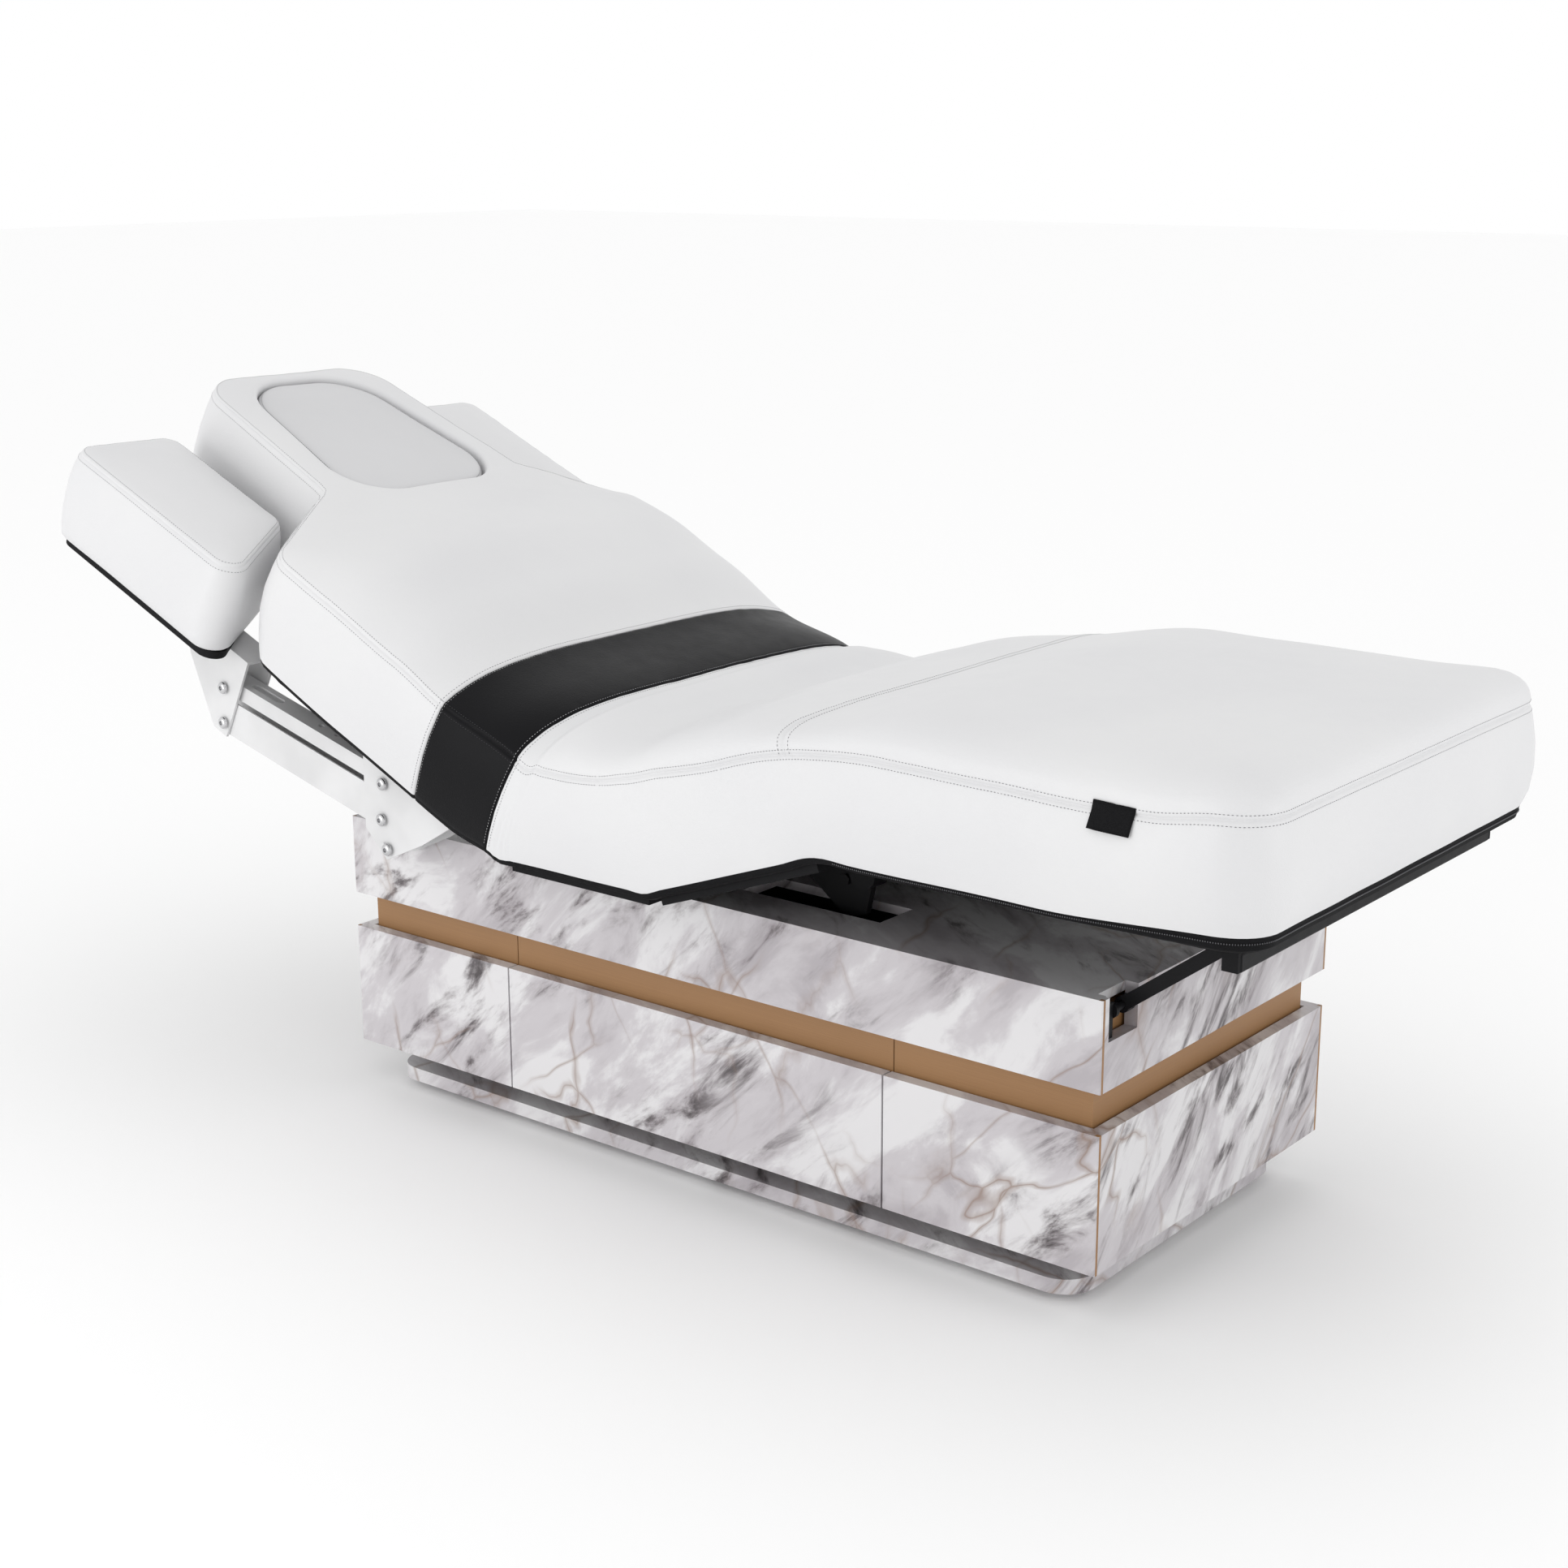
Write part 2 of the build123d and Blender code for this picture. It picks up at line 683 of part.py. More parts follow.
roller_z = knee_z - SUPPORT_BOARD / 2 - TRACK_HEIGHT - STAY_TRACK_GAP - STAY_TUBE_RADIUS
stay_rise = roller_z - stay_z
stay_run = math.sqrt(STAY_LENGTH**2 - stay_rise**2)
roller_x = stay_x + stay_run
stay_turn = math.degrees(math.atan2(stay_rise, stay_run))
arm = block(0, STAY_LENGTH, -stay_outer_y, -stay_inner_y, -STAY_ARM_HALF, STAY_ARM_HALF)
arm += rod_y(STAY_EYE_RADIUS, 0, 0, -stay_outer_y, -stay_inner_y)
arm -= rod_y(STAY_PIN_RADIUS + PIN_CLEARANCE, 0, 0, -stay_outer_y, -stay_inner_y)
near, far = both_sides(arm)
stay = near + far + rod_y(STAY_TUBE_RADIUS, STAY_LENGTH, 0, -stay_outer_y, stay_outer_y)
save(Pos(stay_x, 0, stay_z) * Rot(0, -stay_turn, 0) * stay, "calf_stay")


# Hinged support boards
knuckle_step = (KNUCKLE_LENGTH + KNUCKLE_GAP) / 2


def knuckle(side, shift):
    # One half round barrel that runs into the board's edge
    y0 = side * (KNUCKLE_SPACING / 2 + shift) - KNUCKLE_LENGTH / 2
    y1 = y0 + KNUCKLE_LENGTH
    leaf = block(0, HINGE_EDGE, y0, y1, -BARREL_RADIUS, BARREL_RADIUS)
    return rod_y(BARREL_RADIUS, 0, 0, y0, y1) + leaf


def facing(shape, direction):
    return shape if direction > 0 else mirror(shape, about=Plane.YZ)


def with_fixed_hinge(board, direction):
    # The barrels that hold the pins, for the board that carries the hinge
    for side in (-1, 1):
        board += facing(knuckle(side, -knuckle_step), direction)
        y0 = side * (KNUCKLE_SPACING / 2 - knuckle_step)
        y1 = side * (KNUCKLE_SPACING / 2 + knuckle_step + KNUCKLE_LENGTH / 2)
        board += rod_y(PIN_RADIUS, 0, 0, y0, y1)
    return board


def with_moving_hinge(board, direction):
    # The barrels bored for the pins
    for side in (-1, 1):
        board += facing(knuckle(side, knuckle_step), direction)
    reach = KNUCKLE_SPACING / 2 + KNUCKLE_LENGTH * 2
    return board - rod_y(PIN_RADIUS + PIN_CLEARANCE, 0, 0, -reach, reach)


half_board = SUPPORT_BOARD / 2
seat_length = THIGH_HINGE_X - BACK_HINGE_X
seat_board = block(
    HINGE_EDGE, seat_length - HINGE_EDGE, -support_y, support_y, -half_board, half_board
)
seat_board = with_fixed_hinge(seat_board, 1)
seat_board = Pos(seat_length, 0, 0) * with_fixed_hinge(Pos(-seat_length, 0, 0) * seat_board, -1)
for x in (RISER_X, seat_length - RISER_X):
    for y in (-RISER_Y, RISER_Y):
        seat_board += block(
            x - RISER_LENGTH / 2,
            x + RISER_LENGTH / 2,
            y - RISER_WIDTH / 2,
            y + RISER_WIDTH / 2,
            -half_board - DECK_TO_BOARD,
            -half_board,
        )
save(Pos(BACK_HINGE_X, 0, support_z) * seat_board, "seat_board")

back_points = [
    (-HINGE_EDGE, -support_y),
    (-BOARD_SHOULDER_AT, -support_y),
    (-BOARD_NECK_AT, -BOARD_NECK_HALF),
    (-BOARD_HEAD_AT, -BOARD_HEAD_HALF),
    (-BOARD_HEAD_AT, BOARD_HEAD_HALF),
    (-BOARD_NECK_AT, BOARD_NECK_HALF),
    (-BOARD_SHOULDER_AT, support_y),
    (-HINGE_EDGE, support_y),
]
board_rounds = [SMOOTH_EDGE] + [BOARD_ROUND] * 6 + [SMOOTH_EDGE]
back_board = plan_solid(back_points, board_rounds, -half_board, half_board)
back_board = with_moving_hinge(back_board, -1)
face_hole = Pos(-FACE_HOLE_AT, 0, 0) * extrude(
    Ellipse(FACE_HOLE_LENGTH / 2, FACE_HOLE_WIDTH / 2), amount=SUPPORT_BOARD, both=True
)
save(back_place * (back_board - face_hole), "back_board")

thigh_board = block(
    HINGE_EDGE, THIGH_LENGTH - HINGE_EDGE, -support_y, support_y, -half_board, half_board
)
thigh_board = with_moving_hinge(thigh_board, 1)
thigh_board = Pos(-THIGH_LENGTH, 0, 0) * thigh_board
thigh_board = Pos(THIGH_LENGTH, 0, 0) * with_fixed_hinge(thigh_board, -1)
save(thigh_place * thigh_board, "thigh_board")

calf_end = CALF_BOARD_END_X - knee_x
calf_board = block(
    HINGE_EDGE, calf_end, -CALF_BOARD_HALF, CALF_BOARD_HALF, -half_board, half_board
)
calf_board += block(
    calf_end - CALF_BAR,
    calf_end,
    -CALF_BOARD_HALF,
    CALF_BOARD_HALF,
    -half_board - CALF_BAR,
    -half_board,
)
track = block(
    TRACK_START_X - knee_x,
    calf_end - CALF_BAR,
    -STAY_Y - TRACK_WIDTH / 2,
    -STAY_Y + TRACK_WIDTH / 2,
    -half_board - TRACK_HEIGHT,
    -half_board,
)
for piece in both_sides(track):
    calf_board += piece
save(calf_place * with_moving_hinge(calf_board, 1), "calf_board")

# Thigh lever that dips through the deck slot
lever = side_plate(
    [
        (LEVER_TOP_START, -half_board),
        (LEVER_TOP_END, -half_board),
        (LEVER_TIP_AT + LEVER_TIP_HALF, -LEVER_DROP),
        (LEVER_TIP_AT - LEVER_TIP_HALF, -LEVER_DROP),
    ],
    -LEVER_Y - LEVER_WIDTH / 2,
    -LEVER_Y + LEVER_WIDTH / 2,
)
lever += rod_y(
    LEVER_BOSS_RADIUS,
    LEVER_BOSS_AT,
    -LEVER_BOSS_DROP,
    -LEVER_Y - LEVER_BOSS_LENGTH / 2,
    -LEVER_Y + LEVER_BOSS_LENGTH / 2,
)
bolt_place = Pos(LEVER_TIP_AT, -LEVER_Y - LEVER_WIDTH / 2, -LEVER_BOLT_DROP)
lever += bolt_place * hex_head(LEVER_BOLT_RADIUS, LEVER_BOLT_HEAD)
save(thigh_place * group(both_sides(lever)), "thigh_levers")


# Mattress section, from the board up: drawn in base, full side, seam, crown
def mattress_face(swell=0):
    seam_z = SEAM_HEIGHT + swell
    widest = (CUSHION_WIDEST_HALF, seam_z * CUSHION_WIDEST_SHARE)
    base = (CUSHION_BASE_HALF, 0)
    seam = (SEAM_HALF, seam_z)
    edge = (EDGE_HALF, EDGE_HEIGHT + swell)
    crown_edge = (CROWN_HALF, CROWN_EDGE_HEIGHT + swell)
    crown = (0, CROWN_HEIGHT + swell)

    def other(point):
        return (-point[0], point[1])

    outline = Curve() + [
        Line(other(base), base),
        ThreePointArc(base, widest, seam),
        ThreePointArc(seam, edge, crown_edge),
        ThreePointArc(crown_edge, crown, other(crown_edge)),
        ThreePointArc(other(crown_edge), other(edge), other(seam)),
        ThreePointArc(other(seam), other(widest), other(base)),
    ]
    return make_face(Plane.YZ * outline)


def mattress_run(x0, x1):
    return Pos(x0, 0, cushion_z) * extrude(mattress_face(), amount=x1 - x0, dir=(1, 0, 0))


band = mattress_run(-BAND_HEAD_EDGE, -BAND_FOOT_EDGE)
save(back_place * band, "waist_band")

# Back cushion: a part that swells towards the shoulders, and the narrow head
swell_sections = [
    Pos(-at, 0, cushion_z) * mattress_face(swell)
    for at, swell in zip((BAND_HEAD_EDGE,) + BACK_SWELL_AT, (0,) + BACK_SWELL)
]
shoulder_points = [
    (-BAND_FOOT_EDGE, -CUSHION_WIDEST_HALF),
    (-SHOULDER_AT, -CUSHION_WIDEST_HALF),
    (-NECK_AT, -NECK_HALF),
    (-NECK_AT, NECK_HALF),
    (-SHOULDER_AT, CUSHION_WIDEST_HALF),
    (-BAND_FOOT_EDGE, CUSHION_WIDEST_HALF),
]
shoulder_rounds = [0, SHOULDER_ROUND, 0, 0, SHOULDER_ROUND, 0]
shoulders = plan_solid(shoulder_points, shoulder_rounds, cushion_z, HEAD_END)
head_points = [
    (-NECK_AT, -NECK_HALF),
    (-HEAD_END, -HEAD_HALF),
    (-HEAD_END, HEAD_HALF),
    (-NECK_AT, NECK_HALF),
]


def cushion_block(points, rounds, z0, height):
    # A closed pad with its top and bottom edges drawn in
    body = extrude(plan_face(points, rounds), amount=height)
    body = chamfer(body.faces().sort_by(Axis.Z)[-1].edges(), CUSHION_TOP_CUT)
    body = chamfer(body.faces().sort_by(Axis.Z)[0].edges(), CUSHION_FOOT_CUT)
    return Pos(0, 0, z0) * body


def plug_solid(grow, z0, z1):
    neck = PLUG_NECK_AT - grow
    head = PLUG_HEAD_AT + grow
    neck_half = PLUG_NECK_HALF + grow
    head_half = PLUG_HEAD_HALF + grow
    points = [(-neck, -neck_half), (-head, -head_half), (-head, head_half), (-neck, neck_half)]
    neck_round = PLUG_NECK_ROUND + grow
    head_round = PLUG_HEAD_ROUND + grow
    return plan_solid(points, [neck_round, head_round, head_round, neck_round], z0, z1)


head_rounds = [0, HEAD_ROUND, HEAD_ROUND, 0]
head_block = cushion_block(head_points, head_rounds, cushion_z, CROWN_HEIGHT)
head_block = head_block & mattress_run(-HEAD_END, -NECK_AT)
hole = plug_solid(PLUG_CLEARANCE, cushion_z, HEAD_END)
save(back_place * ((loft(swell_sections, ruled=True) & shoulders) - hole), "back_cushion")
save(back_place * (head_block - hole), "head_cushion")

plug_top = cushion_z + CROWN_HEIGHT - PLUG_SINK
plug = plug_solid(0, cushion_z, plug_top)
plug = chamfer(plug.faces().sort_by(Axis.Z)[-1].edges(), PLUG_EDGE)
save(back_place * plug, "face_insert")


# Seat cushion and the folds that bend with the back, thigh and calf
def half_space(x0, x1):
    return block(x0, x1, -FOLD_REACH, FOLD_REACH, -FOLD_REACH, FOLD_REACH)


def bend(hinge, head_turn, foot_turn, head_x, foot_x):
    # Two straight runs of the section that meet on the plane halfway between
    middle = hinge * Rot(0, (head_turn + foot_turn) / 2, 0)
    head_run = hinge * Rot(0, head_turn, 0) * mattress_run(head_x, FOLD_REACH / 2)
    foot_run = hinge * Rot(0, foot_turn, 0) * mattress_run(-FOLD_REACH / 2, foot_x)
    head_part = head_run & (middle * half_space(-FOLD_REACH, 0))
    return head_part + (foot_run & (middle * half_space(0, FOLD_REACH)))


back_hinge = Pos(BACK_HINGE_X, 0, support_z)
thigh_hinge = Pos(THIGH_HINGE_X, 0, support_z)
hip_start = SOFT_GAP - BAND_FOOT_EDGE
hip_body = bend(back_hinge, BACK_ANGLE, 0, hip_start, SEAT_END_X - BACK_HINGE_X)
hip_body -= back_place * half_space(hip_start - FOLD_REACH, hip_start)
raised = half_space(hip_start - FOLD_REACH, hip_start)
raised += block(-FOLD_REACH, 0, -FOLD_REACH, FOLD_REACH, -FOLD_REACH, cushion_z + SOFT_GAP)
raised = back_hinge * Rot(0, BACK_TOP_ANGLE, 0) * raised
save(hip_body & raised, "hip_fold")
save(hip_body - raised, "seat_cushion")

thigh_end = THIGH_LENGTH - KNEE_GAP
seat_end = SEAT_END_X - THIGH_HINGE_X
fold_end = THIGH_CUSHION_START - SOFT_GAP
save(bend(thigh_hinge, 0, -THIGH_ANGLE, seat_end, fold_end), "thigh_fold")
save(thigh_place * mattress_run(THIGH_CUSHION_START, thigh_end), "thigh_cushion")
knee_fold = bend(calf_place, -THIGH_ANGLE, 0, -KNEE_GAP, KNEE_GAP - SOFT_GAP)
save(knee_fold, "knee_fold")

extra = CUSHION_TOP_CUT + CUSHION_FOOT_CUT
foot_end = FOOT_END_X - knee_x
calf_points = [
    (KNEE_GAP - extra, -CUSHION_WIDEST_HALF),
    (foot_end, -CUSHION_WIDEST_HALF),
    (foot_end, CUSHION_WIDEST_HALF),
    (KNEE_GAP - extra, CUSHION_WIDEST_HALF),
]
calf_rounds = [0, FOOT_ROUND, FOOT_ROUND, 0]
calf_cushion = cushion_block(calf_points, calf_rounds, cushion_z, CROWN_HEIGHT)
calf_cushion = calf_cushion & mattress_run(KNEE_GAP, foot_end)
save(calf_place * calf_cushion, "calf_cushion")

# Arm rest linkage, built for the near side in the frame of the back
link_turn = math.radians(ARM_LINK_ANGLE)
link_run = ARM_LINK_LENGTH * math.cos(link_turn)
link_rise = ARM_LINK_LENGTH * math.sin(link_turn)
lower_pivot = (-ARM_LOWER_AT, -ARM_LOWER_DROP)
upper_pivot = (lower_pivot[0] - ARM_BOLT_SHIFT, lower_pivot[1] + ARM_BOLT_RISE)
lower_end = (lower_pivot[0] - link_run, lower_pivot[1] + link_rise)
upper_end = (upper_pivot[0] - link_run, upper_pivot[1] + link_rise)
outer_plate = (-ARM_OUTER_Y, ARM_PLATE - ARM_OUTER_Y)
inner_plate = (-ARM_INNER_Y - ARM_PLATE, -ARM_INNER_Y)
channel_outer = outer_plate[1] + ARM_PLATE_GAP
channel_inner = inner_plate[0] - ARM_PLATE_GAP


def save_arm(shape, name):
    near = back_place * shape
    save(near, f"arm_near_{name}")
    save(mirror(near, about=Plane.XZ), f"arm_far_{name}")


def bolt_through(pivot):
    # A head on the outer plate and a shank through both plates
    shank = rod_y(ARM_PIN_RADIUS, *pivot, outer_plate[0], inner_plate[1])
    head_y = outer_plate[0] - ARM_BOLT_HEAD
    return shank + rod_y(ARM_BOLT_HEAD_RADIUS, *pivot, head_y, outer_plate[0])


bracket_points = [
    (-BRACKET_TOP_HEAD, -half_board),
    (-BRACKET_TOP_FOOT, -half_board),
    (-BRACKET_HEEL_AT, -BRACKET_HEEL_DROP),
    (-BRACKET_TOE_AT, -BRACKET_TOE_DROP),
    (-BRACKET_SIDE_AT, -BRACKET_SIDE_DROP),
]
base_bracket = side_plate(bracket_points, *outer_plate)
base_bracket += side_plate(bracket_points, *inner_plate)
base_bracket += block(
    -BRACKET_TOP_HEAD,
    -BRACKET_TOP_FOOT,
    outer_plate[0],
    inner_plate[1],
    -half_board - BRACKET_FLANGE,
    -half_board,
)
for pivot in (lower_pivot, upper_pivot):
    base_bracket += bolt_through(pivot)
nut_place = Pos(-BRACKET_NUT_AT, outer_plate[0], -BRACKET_NUT_DROP)
base_bracket += nut_place * hex_head(ARM_NUT_RADIUS, ARM_BOLT_HEAD)
save_arm(base_bracket, "bracket")


def channel(top, foot, shrink, web_on_top):
    # A folded channel from one pivot to the next along minus X
    y0 = channel_outer + shrink
    y1 = channel_inner - shrink
    x0 = ARM_LINK_END
    x1 = -ARM_LINK_LENGTH - ARM_LINK_END
    body = block(x0, x1, y0, y1, -foot, top)
    cut_y0 = y0 + ARM_LINK_WALL
    cut_y1 = y1 - ARM_LINK_WALL
    if web_on_top:
        body -= block(x0, x1, cut_y0, cut_y1, -foot, top - ARM_LINK_WALL)
    else:
        body -= block(x0, x1, cut_y0, cut_y1, ARM_LINK_WALL - foot, top)
    bore = ARM_PIN_RADIUS + ARM_PIN_CLEARANCE
    for x in (0, -ARM_LINK_LENGTH):
        body -= rod_y(bore, x, 0, y0, y1)
    return body


def on_link(pivot, shape):
    return Pos(pivot[0], 0, pivot[1]) * Rot(0, ARM_LINK_ANGLE, 0) * shape


upper_link = channel(ARM_UPPER_TOP, ARM_UPPER_FOOT, ARM_LINK_WALL + ARM_NEST_GAP, True)
link_mid_y = (channel_outer + channel_inner) / 2
slot_x = -ARM_LINK_LENGTH * ARM_SLOT_SHARE
upper_link -= Pos(slot_x, link_mid_y, ARM_UPPER_TOP) * extrude(
    SlotOverall(ARM_SLOT_LENGTH, ARM_SLOT_WIDTH), amount=ARM_LINK_WALL * 2, both=True
)
for share in ARM_HOLE_SHARES:
    hole_x = -ARM_LINK_LENGTH * share
    drill = Cylinder(ARM_HOLE_RADIUS, ARM_LINK_WALL * 4)
    upper_link -= Pos(hole_x, link_mid_y, ARM_UPPER_TOP) * drill
save_arm(on_link(upper_pivot, upper_link), "upper_link")
lower_link = channel(ARM_LOWER_TOP, ARM_LOWER_FOOT, 0, False)
save_arm(on_link(lower_pivot, lower_link), "lower_link")

pad_board_z = -PAD_BASE_DROP - PAD_BOARD
end_points = [
    (lower_end[0] - END_TOP_FOOT, pad_board_z),
    (lower_end[0] - END_TOP_HEAD, pad_board_z),
    (lower_end[0] - END_MID_HEAD, lower_end[1] + ARM_BOLT_RISE + END_MID_DROP),
    (lower_end[0] - END_TIP_HALF, lower_end[1] - END_TIP_DROP),
    (lower_end[0] + END_TIP_HALF, lower_end[1] - END_TIP_DROP),
]
end_bracket = side_plate(end_points, *outer_plate) + side_plate(end_points, *inner_plate)
end_bracket += block(
    lower_end[0] - END_TOP_HEAD,
    lower_end[0] - END_TOP_FOOT,
    outer_plate[0],
    inner_plate[1],
    pad_board_z - BRACKET_FLANGE,
    pad_board_z,
)
for pivot in (lower_end, upper_end):
    end_bracket += bolt_through(pivot)
save_arm(end_bracket, "end_bracket")

# Arm rest board and pad
pad_points = [
    (-PAD_FOOT_OUTER_AT, -PAD_OUTER_Y),
    (-PAD_HEAD_AT, -PAD_OUTER_Y),
    (-PAD_HEAD_AT, -PAD_INNER_Y),
    (-PAD_FOOT_INNER_AT, -PAD_INNER_Y),
]
pad_rounds = [PAD_ROUND] * len(pad_points)
pad = plan_solid(pad_points, pad_rounds, 0, PAD_CROWN_HEIGHT)
pad = chamfer(pad.faces().sort_by(Axis.Z)[-1].edges(), PAD_TOP_CUT)
pad = chamfer(pad.faces().sort_by(Axis.Z)[0].edges(), CUSHION_FOOT_CUT)
pad_mid_y = -(PAD_INNER_Y + PAD_OUTER_Y) / 2
pad_half = (PAD_OUTER_Y - PAD_INNER_Y) / 2
crown_curve = Curve() + [
    Line((-pad_half, 0), (pad_half, 0)),
    Line((pad_half, 0), (pad_half, PAD_SEAM_HEIGHT)),
    ThreePointArc(
        (pad_half, PAD_SEAM_HEIGHT), (0, PAD_CROWN_HEIGHT), (-pad_half, PAD_SEAM_HEIGHT)
    ),
    Line((-pad_half, PAD_SEAM_HEIGHT), (-pad_half, 0)),
]
crown_body = extrude(make_face(Plane.YZ * crown_curve), amount=-HEAD_END, dir=(1, 0, 0))
pad = pad & (Pos(0, pad_mid_y, 0) * crown_body)
save_arm(Pos(0, 0, -PAD_BASE_DROP) * pad, "pad")

board_points = [
    (-PAD_FOOT_OUTER_AT - PAD_BOARD_INSET, PAD_BOARD_INSET - PAD_OUTER_Y),
    (PAD_BOARD_INSET - PAD_HEAD_AT, PAD_BOARD_INSET - PAD_OUTER_Y),
    (PAD_BOARD_INSET - PAD_HEAD_AT, -PAD_INNER_Y - PAD_BOARD_INSET),
    (-PAD_FOOT_INNER_AT - PAD_BOARD_INSET, -PAD_INNER_Y - PAD_BOARD_INSET),
]
pad_board_rounds = [PAD_ROUND - PAD_BOARD_INSET] * len(board_points)
pad_board = plan_solid(board_points, pad_board_rounds, pad_board_z, -PAD_BASE_DROP)
save_arm(pad_board, "board")
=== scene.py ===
import math

import bmesh
import bpy
import numpy as np
from mathutils import Matrix, Vector, noise
from mathutils.bvhtree import BVHTree
from mathutils.geometry import delaunay_2d_cdt


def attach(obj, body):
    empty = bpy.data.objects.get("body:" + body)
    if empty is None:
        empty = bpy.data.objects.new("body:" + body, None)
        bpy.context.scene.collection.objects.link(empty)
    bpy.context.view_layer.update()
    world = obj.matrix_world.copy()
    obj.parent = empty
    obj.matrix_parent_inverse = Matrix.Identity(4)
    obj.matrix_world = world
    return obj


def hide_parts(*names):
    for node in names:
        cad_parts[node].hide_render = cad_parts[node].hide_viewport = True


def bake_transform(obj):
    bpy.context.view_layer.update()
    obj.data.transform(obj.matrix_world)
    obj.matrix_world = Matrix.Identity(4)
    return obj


# Treatment table: looks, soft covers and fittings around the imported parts, in metres

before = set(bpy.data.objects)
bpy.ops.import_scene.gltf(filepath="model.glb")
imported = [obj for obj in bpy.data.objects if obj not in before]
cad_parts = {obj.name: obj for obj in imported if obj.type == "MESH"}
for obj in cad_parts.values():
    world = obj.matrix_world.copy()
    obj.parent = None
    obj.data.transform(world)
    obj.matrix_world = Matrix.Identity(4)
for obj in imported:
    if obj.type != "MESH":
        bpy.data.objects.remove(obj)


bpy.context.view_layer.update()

# Camera, solved from the edges of the cabinet
CAMERA_AT = (2.0160, -2.5870, 1.3821)
CAMERA_YAW = math.radians(38.707)
CAMERA_PITCH = math.radians(14.946)
CAMERA_ROLL = math.radians(-0.160)
CAMERA_LENS = 56.29
CAMERA_SENSOR = 36


def add_object(name, data):
    obj = bpy.data.objects.new(name, data)
    bpy.context.scene.collection.objects.link(obj)
    return obj


def make_camera():
    back = Vector((
        math.sin(CAMERA_YAW) * math.cos(CAMERA_PITCH),
        -math.cos(CAMERA_YAW) * math.cos(CAMERA_PITCH),
        math.sin(CAMERA_PITCH),
    ))
    level = Vector((math.cos(CAMERA_YAW), math.sin(CAMERA_YAW), 0))
    upright = back.cross(level)
    right = math.cos(CAMERA_ROLL) * level + math.sin(CAMERA_ROLL) * upright
    up = back.cross(right)
    data = bpy.data.cameras.new("camera")
    data.lens = CAMERA_LENS
    data.sensor_width = CAMERA_SENSOR
    camera = add_object("camera", data)
    turn = Matrix((right, up, back)).transposed().to_4x4()
    camera.matrix_world = Matrix.Translation(CAMERA_AT) @ turn
    bpy.context.scene.camera = camera


make_camera()


def simple_material(name, color, rough, metal=0.0):
    mat = bpy.data.materials.new(name)
    mat.use_nodes = True
    bsdf = mat.node_tree.nodes["Principled BSDF"]
    bsdf.inputs["Base Color"].default_value = (*color, 1)
    bsdf.inputs["Roughness"].default_value = rough
    bsdf.inputs["Metallic"].default_value = metal
    return mat


FLOOR_SIZE = 60
FLOOR_WHITE = 0.97
ROOM_LIGHT = 1.0
LIGHT_AIM = (0, 0, 0.5)
# Place, width and power of each soft light
SOFT_LIGHTS = (((-1.6, -4.2, 0.9), 2.4, 45), ((3.6, 0.4, 1.0), 1.6, 12))


def make_stage():
    # A white studio: an even white room and two large soft lights
    bpy.ops.mesh.primitive_plane_add(size=FLOOR_SIZE)
    floor = bpy.context.object
    floor.name = "floor"
    floor.data.materials.append(simple_material("floor_white", (FLOOR_WHITE,) * 3, 0.9))
    world = bpy.data.worlds.new("world")
    world.use_nodes = True
    room = world.node_tree.nodes["Background"].inputs
    room["Color"].default_value = (1, 1, 1, 1)
    room["Strength"].default_value = ROOM_LIGHT
    bpy.context.scene.world = world
    bpy.context.scene.view_settings.view_transform = "Standard"
    for at, size, power in SOFT_LIGHTS:
        light = bpy.data.lights.new("softbox", "AREA")
        light.size = size
        light.energy = power
        lamp = add_object("softbox", light)
        lamp.location = at
        aim = Vector(LIGHT_AIM) - Vector(at)
        lamp.rotation_euler = aim.to_track_quat("-Z", "Y").to_euler()


make_stage()

materials = {}


def is_output(source):
    return hasattr(source, "is_linked")


